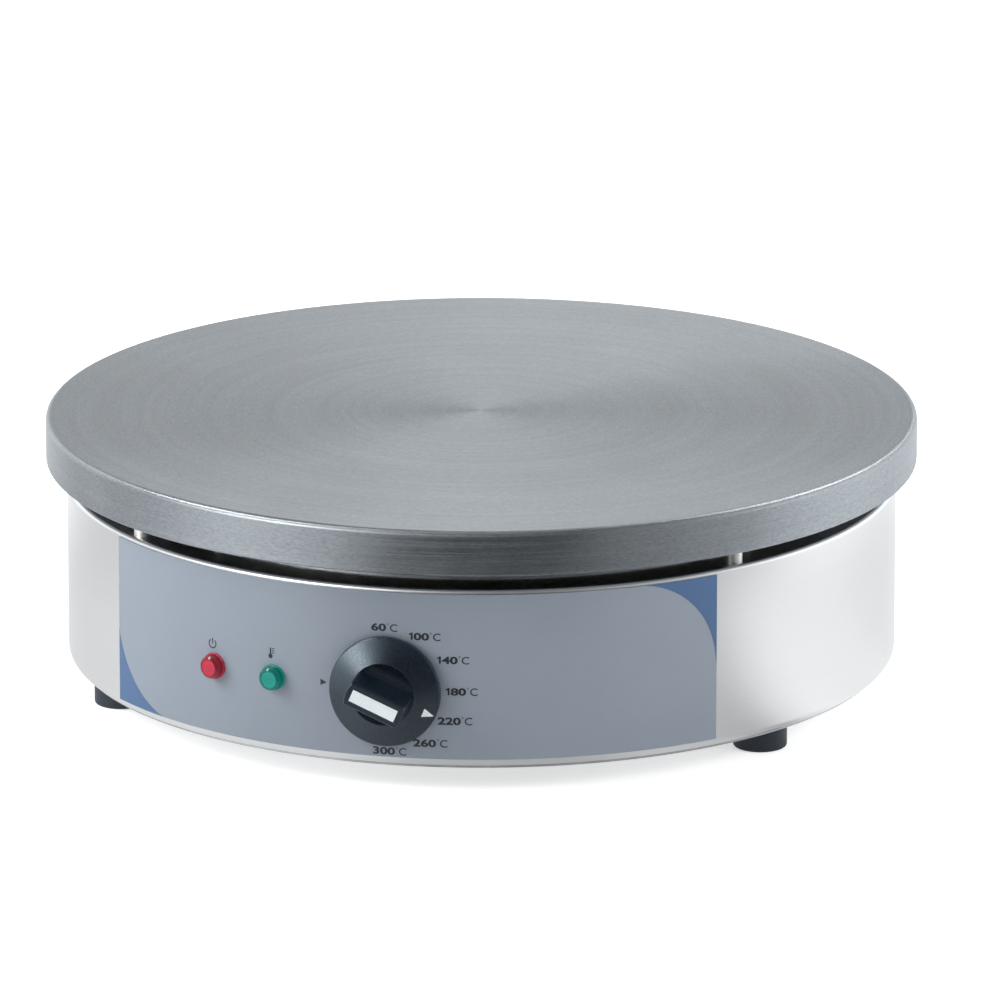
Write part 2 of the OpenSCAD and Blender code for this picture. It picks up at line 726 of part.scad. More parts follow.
module heat_shield() color("gray") difference() {
    rotate_extrude() {
        translate([0, pan_floor_z - pan_t]) square([pan_r - pan_corner, pan_t]);
        translate([pan_r - pan_corner, pan_floor_z - pan_t + pan_corner])
            mirror([0, 1]) bend(pan_corner, pan_t);
        translate([pan_r - pan_t, pan_floor_z - pan_t + pan_corner])
            square([pan_t, pan_depth + pan_t - 2 * pan_corner]);
        translate([pan_r - pan_t + pan_corner, shell_z1 + pan_t - pan_corner])
            mirror([1, 0]) bend(pan_corner, pan_t);
        translate([pan_r - pan_t + pan_corner, shell_z1])
            square([pan_rim - pan_corner + pan_t, pan_t]);
    }
    leg_holes(pan_floor_z - pan_t - cut, pan_t + 2 * cut, tube_d + leg_room);
    translate([0, -capillary_y, pan_floor_z - pan_t - cut])
        cylinder(d = capillary_d + capillary_room, h = pan_t + 2 * cut);
    for (a = shield_bearings) bearing(a) translate([0, -shield_screw_r, shell_z1 - cut])
        cylinder(d = shield_screw_d + 2 * snug, h = pan_t + 2 * cut);
}

module shield_screws() color("silver") for (a = shield_bearings) bearing(a)
    translate([0, -shield_screw_r, shell_z1 + pan_t]) mirror([0, 0, 1])
        pan_screw(shield_screw_d, shield_screw_l);

// ---- Drum ----

module shell_section() {
    translate([flange_r, shell_z1 - shell_t]) square([flange_w - shell_top_r, shell_t]);
    translate([shell_r - shell_top_r, shell_z1 - shell_top_r]) bend(shell_top_r, shell_t);
    translate([shell_in, shell_z0 + shell_bottom_r])
        square([shell_t, shell_h - shell_top_r - shell_bottom_r]);
    translate([shell_r - shell_bottom_r, shell_z0 + shell_bottom_r])
        mirror([0, 1]) bend(shell_bottom_r, shell_t);
    translate([shell_r - lip_w, shell_z0]) square([lip_w - shell_bottom_r, shell_t]);
}

module body_shell() color("lightgray") difference() {
    rotate_extrude() shell_section();
    for (a = pin_bearings) bearing(a) translate([0, -pin_r, shell_z1 - shell_t - cut])
        cylinder(d = stud_d + 2 * snug, h = shell_t + 2 * cut);
    for (a = shield_bearings) bearing(a) translate([0, -shield_screw_r, shell_z1 - shell_t - cut])
        cylinder(d = shield_screw_d + 2 * snug, h = shell_t + 2 * cut);
    for (a = base_screw_bearings) bearing(a) translate([0, -base_screw_r, shell_z0 - cut])
        cylinder(d = base_screw_d + 2 * snug, h = shell_t + 2 * cut);
    outward(0, shell_in - 5, control_z) cylinder(d = shaft_hole_d, h = 10);
    for (x = [-fixing_pitch / 2, fixing_pitch / 2]) outward(0, shell_in - 5, control_z)
        translate([x, 0, 0]) cylinder(d = fixing_d + 2 * snug, h = 10);
    for (a = [power_bearing, ready_bearing]) outward(a, shell_in - 5, control_z)
        cylinder(d = lamp_hole_d, h = 10);
    outward(180, shell_in - 5, gland_z) cylinder(d = gland_d + loose, h = 10);
}

module control_panel() color("lightsteelblue") difference() {
    rotate([0, 0, -90 - panel_angle / 2]) rotate_extrude(angle = panel_angle)
        translate([shell_r, panel_z0]) square([panel_t, panel_z1 - panel_z0]);
    outward(0, shell_r - 5, control_z) cylinder(d = shaft_hole_d, h = 10);
    for (x = [-fixing_pitch / 2, fixing_pitch / 2]) outward(0, shell_r - 5, control_z)
        translate([x, 0, 0]) cylinder(d = fixing_d + 2 * snug, h = 10);
    for (a = [power_bearing, ready_bearing]) outward(a, shell_r - 5, control_z)
        cylinder(d = lamp_hole_d, h = 10);
}

// ---- Base and feet ----

module base_section() {
    translate([raised_r + base_ramp, foot_h]) square([base_rim, base_t]);
    polygon([[raised_r - 0.01, foot_h + base_raise], [raised_r + base_ramp + 0.01, foot_h],
        [raised_r + base_ramp + 0.01, foot_h + base_t], [raised_r - 0.01, foot_h + base_raise + base_t]]);
    translate([0, foot_h + base_raise]) square([raised_r, base_t]);
}

module base_plate() color("darkgray") difference() {
    rotate_extrude() base_section();
    for (i = [0:vent_count - 1]) rotate([0, 0, (i + 0.5) * 360 / vent_count])
        translate([vent_start, -vent_w / 2, foot_h - cut]) {
            translate([vent_w / 2, 0, 0]) cube([vent_l - vent_w, vent_w, base_raise + base_t + 2 * cut]);
            for (x = [vent_w / 2, vent_l - vent_w / 2]) translate([x, vent_w / 2, 0])
                cylinder(d = vent_w, h = base_raise + base_t + 2 * cut);
        }
    for (a = base_screw_bearings) bearing(a) translate([0, -base_screw_r, foot_h])
        flat_hole(base_screw_d, flat_h, base_t + cut);
    for (a = foot_bearings) bearing(a) translate([0, -foot_r, foot_h - cut])
        cylinder(d = foot_screw_d + 2 * snug, h = base_t + 2 * cut);
    for (x = [-1, 1]) translate([x * block_screw_x, block_y, foot_h])
        cylinder(d = block_screw_d + 2 * snug, h = base_raise + base_t + cut);
    translate([earth_x, earth_y, foot_h]) cylinder(d = earth_d + 2 * snug, h = base_raise + base_t + cut);
}

module base_screws() color("silver") for (a = base_screw_bearings) bearing(a)
    translate([0, -base_screw_r, foot_h])
        flat_screw(base_screw_d, flat_h, base_t + shell_t + base_screw_tail);

module foot(a) color("#262629") bearing(a) translate([0, -foot_r, 0]) difference() {
    rotate_extrude() {
        translate([0, foot_edge]) square([foot_d / 2, foot_h - foot_edge]);
        square([foot_d / 2 - foot_edge, foot_h]);
        translate([foot_d / 2 - foot_edge, foot_edge]) circle(foot_edge);
    }
    translate([0, 0, -cut]) cylinder(d = foot_screw_d + 2 * snug, h = foot_h + 2 * cut);
    translate([0, 0, -cut]) cylinder(d = foot_recess_d, h = foot_h - foot_web + cut);
}
module foot_front_left() foot(foot_bearings[0]);
module foot_front_right() foot(foot_bearings[1]);
module foot_rear() foot(foot_bearings[2]);

module foot_screws() color("silver") for (a = foot_bearings) bearing(a)
    translate([0, -foot_r, foot_h - foot_web]) pan_screw(foot_screw_d, foot_web + base_t + nut_h + 1);

module foot_nuts() color("silver") for (a = foot_bearings) bearing(a)
    translate([0, -foot_r, foot_h + base_t]) hexagon(foot_screw_d + 3, nut_h, foot_screw_d + 2 * snug);

// ---- Knob: drawn with +Z out of the panel and its pointer up, then turned ----

module at_knob() outward(0, knob_back, control_z) rotate([0, 0, -knob_turn]) children();

module skirt_section() polygon([[0, 0], [knob_r - band_edge, 0], [knob_r, band_edge],
    [knob_r, cone_h - band_edge], [cone_r, cone_h], [hub_r, knob_hub_h], [0, knob_hub_h]]);

module grip_section() {
    base = grip_w / 2 + grip_draft;
    top = grip_w / 2;
    polygon([[-base, 0], [base, 0], [top, knob_h - grip_edge], [-top, knob_h - grip_edge]]);
    for (s = [-1, 1]) translate([s * (top - grip_edge), knob_h - grip_edge]) circle(grip_edge);
    translate([-top + grip_edge, knob_h - grip_edge]) square([grip_w - 2 * grip_edge, grip_edge]);
}

module grip() intersection() {
    rotate([90, 0, 0]) translate([0, 0, -grip_l]) linear_extrude(2 * grip_l) grip_section();
    rotate_extrude() {
        square([grip_l / 2, knob_h - grip_edge]);
        square([grip_l / 2 - grip_edge, knob_h]);
        translate([grip_l / 2 - grip_edge, knob_h - grip_edge]) circle(grip_edge);
    }
}

module knob() color("#2b2c30") at_knob() difference() {
    union() {
        difference() {
            rotate_extrude() skirt_section();
            intersection() {
                for (s = [-1, 1]) translate([s * dish_x, 0, knob_hub_h + dish_r - dish_depth])
                    rotate([90, 0, 0]) cylinder(r = dish_r, h = knob_hub_d, center = true);
                cylinder(r = hub_r - hub_lip, h = knob_h);
            }
        }
        grip();
    }
    translate([0, 0, -cut]) difference() {
        cylinder(r = knob_r - knob_wall, h = hollow_h + cut);
        cylinder(d = socket_d, h = knob_h);
    }
    translate([0, 0, hollow_h]) difference() {
        cylinder(r1 = knob_r - knob_wall, r2 = hub_r - 1, h = knob_hub_h - knob_wall - knob_band);
        cylinder(d = socket_d, h = knob_h);
    }
    translate([0, 0, -cut]) cylinder(d = shaft_d + 2 * snug, h = socket_depth + cut);
    translate([0, 0, -cut]) cylinder(d = neck_d + 2 * neck_room, h = neck_out + neck_room + cut);
    translate([-inlay_w / 2 - snug, -inlay_l / 2 - snug, knob_h - inlay_depth])
        cube([inlay_w + 2 * snug, inlay_l + 2 * snug, inlay_depth + cut]);
}

module knob_inlay() color("white") at_knob()
    translate([-inlay_w / 2, -inlay_l / 2, knob_h - inlay_depth])
        cube([inlay_w, inlay_l, inlay_depth + inlay_proud]);

module knob_pointer() color("white") at_knob() intersection() {
    linear_extrude(knob_h) polygon([[-pointer_w / 2, pointer_tip - pointer_l],
        [pointer_w / 2, pointer_tip - pointer_l], [0, pointer_tip]]);
    rotate_extrude() polygon([[cone_r, cone_h], [cone_r, cone_h + pointer_t],
        [hub_r, knob_hub_h + pointer_t], [hub_r, knob_hub_h]]);
}

module thermostat_shaft() color("silver") at_knob() {
    translate([0, 0, shaft_z0]) cylinder(d = shaft_d, h = shaft_z1 - shaft_z0);
    translate([0, 0, collar_z]) cylinder(d = collar_d, h = collar_t);
}

// ---- Thermostat ----

module rounded_plate(w, t, r) {
    for (x = [-1, 1], y = [-1, 1]) translate([x * (w / 2 - r), y * (w / 2 - r), 0]) cylinder(r = r, h = t);
    translate([-w / 2 + r, -w / 2, 0]) cube([w - 2 * r, w, t]);
    translate([-w / 2, -w / 2 + r, 0]) cube([w, w - 2 * r, t]);
}

module thermostat_mount() color("silver") difference() {
    union() {
        intersection() {
            outward(0, mount_back, control_z) rounded_plate(thermostat_w, mount_t + cut, mount_corner);
            cylinder(r = shell_in, h = shell_z1, $fn = 720);
        }
        outward(0, mount_back, control_z) cylinder(d = neck_d, h = knob_back + neck_out - mount_back);
    }
    outward(0, mount_back - cut, control_z)
        cylinder(d = shaft_d + 2 * shaft_gap, h = knob_back + neck_out - mount_back + 2 * cut);
    for (x = [-fixing_pitch / 2, fixing_pitch / 2]) outward(0, mount_back - cut, control_z)
        translate([x, 0, 0]) cylinder(d = fixing_d + 2 * snug, h = mount_t + 3 * cut);
}

module thermostat_housing() color("#3a3a3c") outward(0, housing_back, control_z) difference() {
    union() {
        rounded_plate(thermostat_w - 2 * housing_inset, thermostat_l, mount_corner - housing_inset);
        translate([0, 0, -housing_back_t])
            rounded_plate(thermostat_w - mount_corner * 2, housing_back_t, mount_corner - housing_inset);
        for (y = [-1, 0, 1]) translate([-thermostat_w / 2, y * fin_pitch - fin_t / 2, fin_end])
            cube([thermostat_w, fin_t, thermostat_l - 2 * fin_end]);
        translate([0, ferrule_up, -housing_back_t - ferrule_l]) cylinder(d = ferrule_d, h = ferrule_l + 1);
    }
    translate([0, 0, thermostat_l - shaft_in - spare])
        cylinder(d = shaft_d + 4 * shaft_gap, h = shaft_in + spare + cut);
    translate([0, 0, thermostat_l - collar_t - 2 * collar_room])
        cylinder(d = collar_d + 2 * spare, h = collar_t + 2 * collar_room + cut);
    for (x = [-fixing_pitch / 2, fixing_pitch / 2]) translate([x, 0, thermostat_l - mount_t])
        cylinder(d = fixing_d + 1, h = mount_t + cut);
}

module thermostat_terminals() color("goldenrod") outward(0, tab_r, control_z)
    for (x = [-tab_x, tab_x], y = [-tab_z, tab_z]) translate([x - tab_w / 2, y - tab_t / 2, 0])
        cube([tab_w, tab_t, tab_l]);

module thermostat_screws() color("silver") for (x = [-fixing_pitch / 2, fixing_pitch / 2])
    outward(0, fixing_face, control_z) translate([x, 0, 0]) mirror([0, 0, 1])
        pan_screw(fixing_d, fixing_face - mount_back + 2);

// ---- Pilot lamps ----

module lens(a) outward(a, panel_r, control_z) difference() {
    rotate_extrude() {
        square([lens_flange_d / 2, lens_flange_t - lens_edge]);
        square([lens_flange_d / 2 - lens_edge, lens_flange_t]);
        translate([lens_flange_d / 2 - lens_edge, lens_flange_t - lens_edge]) circle(lens_edge);
        polygon([[0, 0], [lens_cap_d / 2, 0], [lens_cap_d / 2, lens_h - lens_slope],
            [lens_cap_d / 2 - lens_slope, lens_h], [0, lens_h]]);
    }
    translate([0, 0, -cut]) cylinder(d = lens_cap_d - 2 * lens_wall, h = lens_h - lens_wall + cut);
}
module power_lens() color("crimson") lens(power_bearing);
module ready_lens() color("mediumseagreen") lens(ready_bearing);

module lamp(a) color("whitesmoke") outward(a, lamp_back, control_z) {
    cylinder(d = lamp_d, h = lamp_l);
    translate([0, 0, lamp_l])
        cylinder(d = lens_cap_d - 2 * lens_wall - 2 * snug, h = lens_h - lens_wall - loose);
    translate([0, 0, -lamp_heel]) cylinder(d1 = lamp_d - 3, d2 = lamp_d - 1, h = lamp_heel);
}
module power_lamp() lamp(power_bearing);
module ready_lamp() lamp(ready_bearing);

module lamp_nuts() color("silver") for (a = [power_bearing, ready_bearing])
    outward(a, lamp_nut_face - lamp_nut_h, control_z) hexagon(lamp_nut_flats, lamp_nut_h, lamp_d + 2 * snug);

module lamp_terminals() color("goldenrod")
    for (a = [power_bearing, ready_bearing], x = [-lamp_tab_x, lamp_tab_x])
        outward(a, lamp_tip, control_z) translate([x - lamp_tab_t / 2, -lamp_tab_w / 2, 0])
            cube([lamp_tab_t, lamp_tab_w, lamp_tab_l]);

// ---- Cable gland ----

module at_gland(r) outward(180, r, gland_z) children();

module gland_body() color("#2e2e30") at_gland(shell_r) difference() {
    union() {
        hexagon(gland_flats, gland_hex);
        translate([0, 0, gland_hex]) cylinder(d = nose_d, h = gland_nose);
        translate([0, 0, -shell_t - gland_stem]) cylinder(d = gland_d, h = shell_t + gland_stem);
    }
    translate([0, 0, -shell_t - gland_stem - cut])
        cylinder(d = cable_d + 1, h = shell_t + gland_stem + 2 * cut);
    cylinder(d = seal_d + 2 * snug, h = seal_l + cut);
}

module gland_seal() color("#1c1c1e") at_gland(shell_r) difference() {
    cylinder(d = seal_d, h = seal_l);
    translate([0, 0, -cut]) cylinder(d = cable_d, h = seal_l + 2 * cut);
}

// The cap covers the nose and the seal, and its dome narrows towards the cable
module gland_cap() color("#2e2e30") at_gland(shell_r + gland_hex + cap_gap) difference() {
    union() {
        hexagon(gland_flats - 1, cap_skirt);
        translate([0, 0, cap_skirt - cap_lap])
            cylinder(d1 = gland_flats - 2, d2 = cable_d + cap_mouth, h = cap_h - cap_skirt + cap_lap);
    }
    translate([0, 0, -cut]) cylinder(d = nose_d + 2 * snug, h = cap_h - cap_wall + cut);
    translate([0, 0, -cut]) cylinder(d = cable_d + 1, h = cap_h + 2 * cut);
}

module gland_nut() color("#2e2e30") at_gland(gland_nut_face - gland_nut_h)
    hexagon(gland_flats, gland_nut_h, gland_d + 2 * snug);

// ---- Terminal block, earth and wiring ----

module terminal_block() color("ivory") translate([0, block_y, floor_z]) difference() {
    union() {
        translate([-block_w / 2, -block_l / 2, 0]) cube([block_w, block_l, block_h - 2 * block_step]);
        translate([-block_w / 2 + block_step, -block_l / 2 + block_step, 0])
            cube([block_w - 2 * block_step, block_l - 2 * block_step, block_h]);
        translate([-block_screw_x, -block_ear / 2, 0]) cube([2 * block_screw_x, block_ear, block_ear_t]);
        for (x = [-1, 1]) translate([x * block_screw_x, 0, 0]) cylinder(d = block_ear, h = block_ear_t);
    }
    for (i = [-1:1]) translate([i * sleeve_pitch, 0, block_h / 2]) {
        rotate([90, 0, 0]) cylinder(d = sleeve_d + 2 * snug, h = block_l + 2 * cut, center = true);
        for (y = [-1, 1]) translate([0, y * block_l / 4, 0]) cylinder(d = clamp_hole_d, h = block_h);
    }
    for (i = [-1, 1]) translate([(i * sleeve_pitch - block_groove) / 2, -block_l, block_h - 4])
        cube([block_groove, 2 * block_l, 4 + cut]);
    for (x = [-1, 1]) translate([x * block_screw_x, 0, -cut])
        cylinder(d = block_screw_d + 2 * snug, h = block_ear_t + 2 * cut);
}

module terminal_sleeves() color("goldenrod") for (i = [-1:1])
    translate([i * sleeve_pitch, block_y, sleeve_z]) difference() {
        rotate([90, 0, 0]) cylinder(d = sleeve_d, h = block_l - 2, center = true);
        rotate([90, 0, 0]) cylinder(d = sleeve_hole, h = block_l, center = true);
        for (y = [-1, 1]) translate([0, y * block_l / 4, 0])
            cylinder(d = clamp_pin_d + 2 * snug, h = sleeve_d);
    }

// Each screw reaches through the sleeve's wall onto the wire, its slotted head above the sleeve
module terminal_screws() color("silver") for (i = [-1:1], y = [-1, 1])
    translate([i * sleeve_pitch, block_y + y * block_l / 4, sleeve_z]) difference() {
        union() {
            translate([0, 0, wire_d / 2]) cylinder(d = clamp_pin_d, h = sleeve_d / 2);
            translate([0, 0, sleeve_d / 2 + loose]) cylinder(d = clamp_pin_head, h = clamp_pin_d);
        }
        translate([-clamp_pin_d, -0.4, sleeve_d / 2 + clamp_pin_d / 2])
            cube([2 * clamp_pin_d, 0.8, clamp_pin_d]);
    }

module block_screws() color("silver") for (x = [-1, 1])
    translate([x * block_screw_x, block_y, floor_z + block_ear_t])
        mirror([0, 0, 1]) pan_screw(block_screw_d, block_ear_t + base_t);

module earth_stud() color("silver") translate([earth_x, earth_y, 0]) {
    translate([0, 0, floor_z - base_t]) cylinder(d = earth_d, h = base_t + earth_l);
    translate([0, 0, floor_z - base_t - earth_head_h]) cylinder(d = earth_head_d, h = earth_head_h);
}

module earth_nut() color("goldenrod") translate([earth_x, earth_y, floor_z])
    hexagon(earth_d + 3, nut_h, earth_d + 2 * snug);

// Leads start at a sleeve's front mouth and end at the tab that they feed

// Where a leg's tab ends, in plan
function leg_xy(r) = [r * cos(leg_angle) + leg_bend * sin(leg_angle),
    r * sin(leg_angle) - leg_bend * cos(leg_angle)];
// Point at a bearing, a sideways step, a radius and a height
function place(a, x, r, z) = [x * cos(a) + r * sin(a), x * sin(a) - r * cos(a), z];

module wire_live() color("saddlebrown") lead([
    [0, sleeve_front - wire_gap, sleeve_z], [0, sleeve_front - 11, sleeve_z],
    [-8, sleeve_front - 24, wire_low], [-run_x, run_back, wire_low], [-run_x, -run_front, wire_low],
    [-20, -tab_r + 26, wire_low + 4], [-tab_x, -tab_r + 14, control_z - tab_z],
    [-tab_x, -tab_r + wire_d, control_z - tab_z], [-tab_x, -tab_r + wire_gap, control_z - tab_z]],
    wire_d, [1, 0, 0.2]);

module wire_neutral() color("steelblue") let (q = leg_xy(loop_out)) lead([
    [-sleeve_pitch, sleeve_front - wire_gap, sleeve_z], [-sleeve_pitch, sleeve_front - 9, sleeve_z],
    [-sleeve_pitch - 10, sleeve_front - 13, sleeve_z], [q[0] + 3, sleeve_front - 2, sleeve_z],
    [q[0] - 3, q[1] - 22, sleeve_z], [q[0], q[1] - 6, sleeve_z + 6],
    [q[0], q[1], pin_tip_z - 8], [q[0], q[1], pin_tip_z - wire_gap]], wire_d, [0.3, 0.3, -1]);

module wire_switched() color("black") let (q = leg_xy(loop_in)) lead([
    [q[0], q[1], pin_tip_z - wire_gap], [q[0], q[1], pin_tip_z - 6], [q[0] + 6, q[1] - 20, pin_tip_z - 10],
    [20, run_back, pin_tip_z - 12], [run_x, -run_front, pin_tip_z - 12],
    [20, -tab_r + 26, control_z + tab_z], [tab_x, -tab_r + 12, control_z + tab_z],
    [tab_x, -tab_r + wire_gap, control_z + tab_z]],
    wire_d, [1, 0.1, 0.2]);

module wire_earth() color("yellowgreen") lead([
    [sleeve_pitch, sleeve_front - wire_gap, sleeve_z], [sleeve_pitch, sleeve_front - 9, sleeve_z],
    [sleeve_pitch + 12, sleeve_front - 12, sleeve_z], [earth_x - 6, sleeve_front - 6, sleeve_z - 2],
    [earth_x, earth_y - 12, floor_z + nut_h + wire_d],
    [earth_x, earth_y - earth_d / 2 - wire_gap, floor_z + nut_h + wire_d / 2 + wire_gap]],
    wire_d, [0, 0.2, 1]);

// Two leads from a lamp to the thermostat's free tabs, side by side with the other lamp's
module lamp_leads(a, x) for (s = [-1, 1]) lead([
    place(a, s * lamp_tab_x, lamp_tip - wire_gap, control_z),
    place(a, s * lamp_tab_x, lamp_tip - lead_straight, control_z),
    [-bundle_x + bundle_pitch * (s - x), -tab_r + bundle_y + bundle_pitch * x,
        control_z - s * bundle_pitch],
    [s * tab_x - bundle_x / 3 + bundle_pitch * x, -tab_r + bundle_y + bundle_pitch * (1 + x),
        control_z - s * tab_z],
    [s * tab_x + x, -tab_r + lead_straight, control_z - s * tab_z],
    [s * tab_x + x, -tab_r + wire_gap, control_z - s * tab_z]], lamp_wire_d, [1, 0.1, 0.3]);

module power_lamp_leads() color("firebrick") lamp_leads(power_bearing, lamp_wire_x);
module ready_lamp_leads() color("seagreen") lamp_leads(ready_bearing, -lamp_wire_x);

griddle_plate();
plate_studs();
plate_spacers();
plate_washers();
plate_nuts();
heating_element();
element_beads();
element_pins();
element_clamps();
clamp_screws();
sensor_bulb();
capillary_tube();
sensor_clip();
clip_screws();
insulation_blanket();
heat_shield();
shield_screws();
body_shell();
control_panel();
base_plate();
base_screws();
foot_front_left();
foot_front_right();
foot_rear();
foot_screws();
foot_nuts();
knob();
knob_inlay();
knob_pointer();
thermostat_shaft();
thermostat_mount();
thermostat_housing();
thermostat_terminals();
thermostat_screws();
power_lens();
ready_lens();
power_lamp();
ready_lamp();
lamp_nuts();
lamp_terminals();
gland_body();
gland_seal();
gland_cap();
gland_nut();
terminal_block();
terminal_sleeves();
terminal_screws();
block_screws();
earth_stud();
earth_nut();
wire_live();
wire_neutral();
wire_switched();
wire_earth();
power_lamp_leads();
ready_lamp_leads();
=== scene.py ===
"""Looks for the electric crepe maker: materials, the panel's print, the floor, light and camera.

Lengths are in metres, in the frame of the CAD model: +Z is up and the control panel faces -Y.
A bearing is an angle round the drum, 0 at the front and positive towards +X.
"""

import json
from math import asin, atan2, cos, hypot, pi, radians, sin, sqrt

import bmesh
import bpy
from mathutils import Matrix, Vector


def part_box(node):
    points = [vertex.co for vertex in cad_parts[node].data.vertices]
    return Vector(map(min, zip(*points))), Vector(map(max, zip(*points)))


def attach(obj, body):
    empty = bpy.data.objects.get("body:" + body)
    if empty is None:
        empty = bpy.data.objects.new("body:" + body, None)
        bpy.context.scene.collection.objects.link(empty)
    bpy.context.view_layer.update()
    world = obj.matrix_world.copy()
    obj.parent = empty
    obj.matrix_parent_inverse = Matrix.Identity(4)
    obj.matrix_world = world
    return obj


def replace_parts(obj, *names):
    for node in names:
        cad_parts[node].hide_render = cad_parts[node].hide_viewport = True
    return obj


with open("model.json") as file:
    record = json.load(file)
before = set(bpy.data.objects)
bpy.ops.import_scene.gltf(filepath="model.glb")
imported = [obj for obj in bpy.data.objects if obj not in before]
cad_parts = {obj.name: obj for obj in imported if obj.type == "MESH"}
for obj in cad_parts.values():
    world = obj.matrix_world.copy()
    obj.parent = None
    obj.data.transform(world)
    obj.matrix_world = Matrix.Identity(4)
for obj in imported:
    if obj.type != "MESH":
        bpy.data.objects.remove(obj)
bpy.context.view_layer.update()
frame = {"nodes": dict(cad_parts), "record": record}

MM = 0.001

# Places taken from the frame
PANEL_LOW, PANEL_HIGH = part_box("control_panel")
PANEL_R = -PANEL_LOW.y
PANEL_HALF = asin(PANEL_HIGH.x / PANEL_R)        # bearing of the panel's right edge
PLATE_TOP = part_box("griddle_plate")[1]
SHELL_LOW, SHELL_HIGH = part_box("body_shell")


# ---- Node trees ----

class Nodes:
    """The node tree of a material or a world, and short ways to add to it.

    An operand is either a constant or the output of another node.
    """

    def __init__(self, owner):
        owner.use_nodes = True
        self.tree = owner.node_tree

    def add(self, kind, **settings):
        node = self.tree.nodes.new(kind)
        for key, value in settings.items():
            setattr(node, key, value)
        return node

    def join(self, source, target):
        self.tree.links.new(source, target)

    def feed(self, target, operand):
        if isinstance(operand, bpy.types.NodeSocket):
            self.join(operand, target)
        else:
            target.default_value = operand

    def math(self, operation, first, second=0.0):
        node = self.add("ShaderNodeMath", operation=operation)
        self.feed(node.inputs[0], first)
        self.feed(node.inputs[1], second)
        return node.outputs[0]

    def length(self, first, second):
        """The root of the sum of two squares."""
        squares = [self.math("MULTIPLY", side, side) for side in (first, second)]
        return self.math("SQRT", self.math("ADD", *squares))

    def parts(self, place):
        """The three coordinates of a place or a direction."""
        split = self.add("ShaderNodeSeparateXYZ")
        self.join(place, split.inputs[0])
        return split.outputs

    def map_range(self, value, ends, results, interpolation="LINEAR"):
        node = self.add("ShaderNodeMapRange", interpolation_type=interpolation)
        sockets = ("From Min", "From Max", "To Min", "To Max")
        for socket, number in zip(sockets, (*ends, *results)):
            node.inputs[socket].default_value = number
        self.join(value, node.inputs["Value"])
        return node.outputs["Result"]

    def blend(self, share, first, second):
        """The mix of two colours; share is that of the second."""
        node = self.add("ShaderNodeMix", data_type="RGBA")
        self.join(share, node.inputs["Factor"])
        colours = [socket for socket in node.inputs if socket.type == "RGBA"]
        for socket, colour in zip(colours, (first, second)):
            self.feed(socket, colour)
        return next(socket for socket in node.outputs if socket.type == "RGBA")

    def surface(self, kind, **operands):
        """The output of a simple shader, its sockets fed by name."""
        node = self.add(kind)
        for socket, operand in operands.items():
            self.feed(node.inputs[socket], operand)
        return node.outputs[0]

    def combine(self, kind, *sources):
        """The output of a node that puts several sources together, in the order of its sockets."""
        node = self.add(kind)
        for socket, source in zip(node.inputs, sources):
            self.join(source, socket)
        return node.outputs[0]

    def seen_through(self):
        """1 for rays from the camera and for those that have passed through the lenses."""
        rays = self.add("ShaderNodeLightPath").outputs
        return self.math("MAXIMUM", rays["Is Camera Ray"], rays["Is Transmission Ray"])


# ---- The part's materials ----

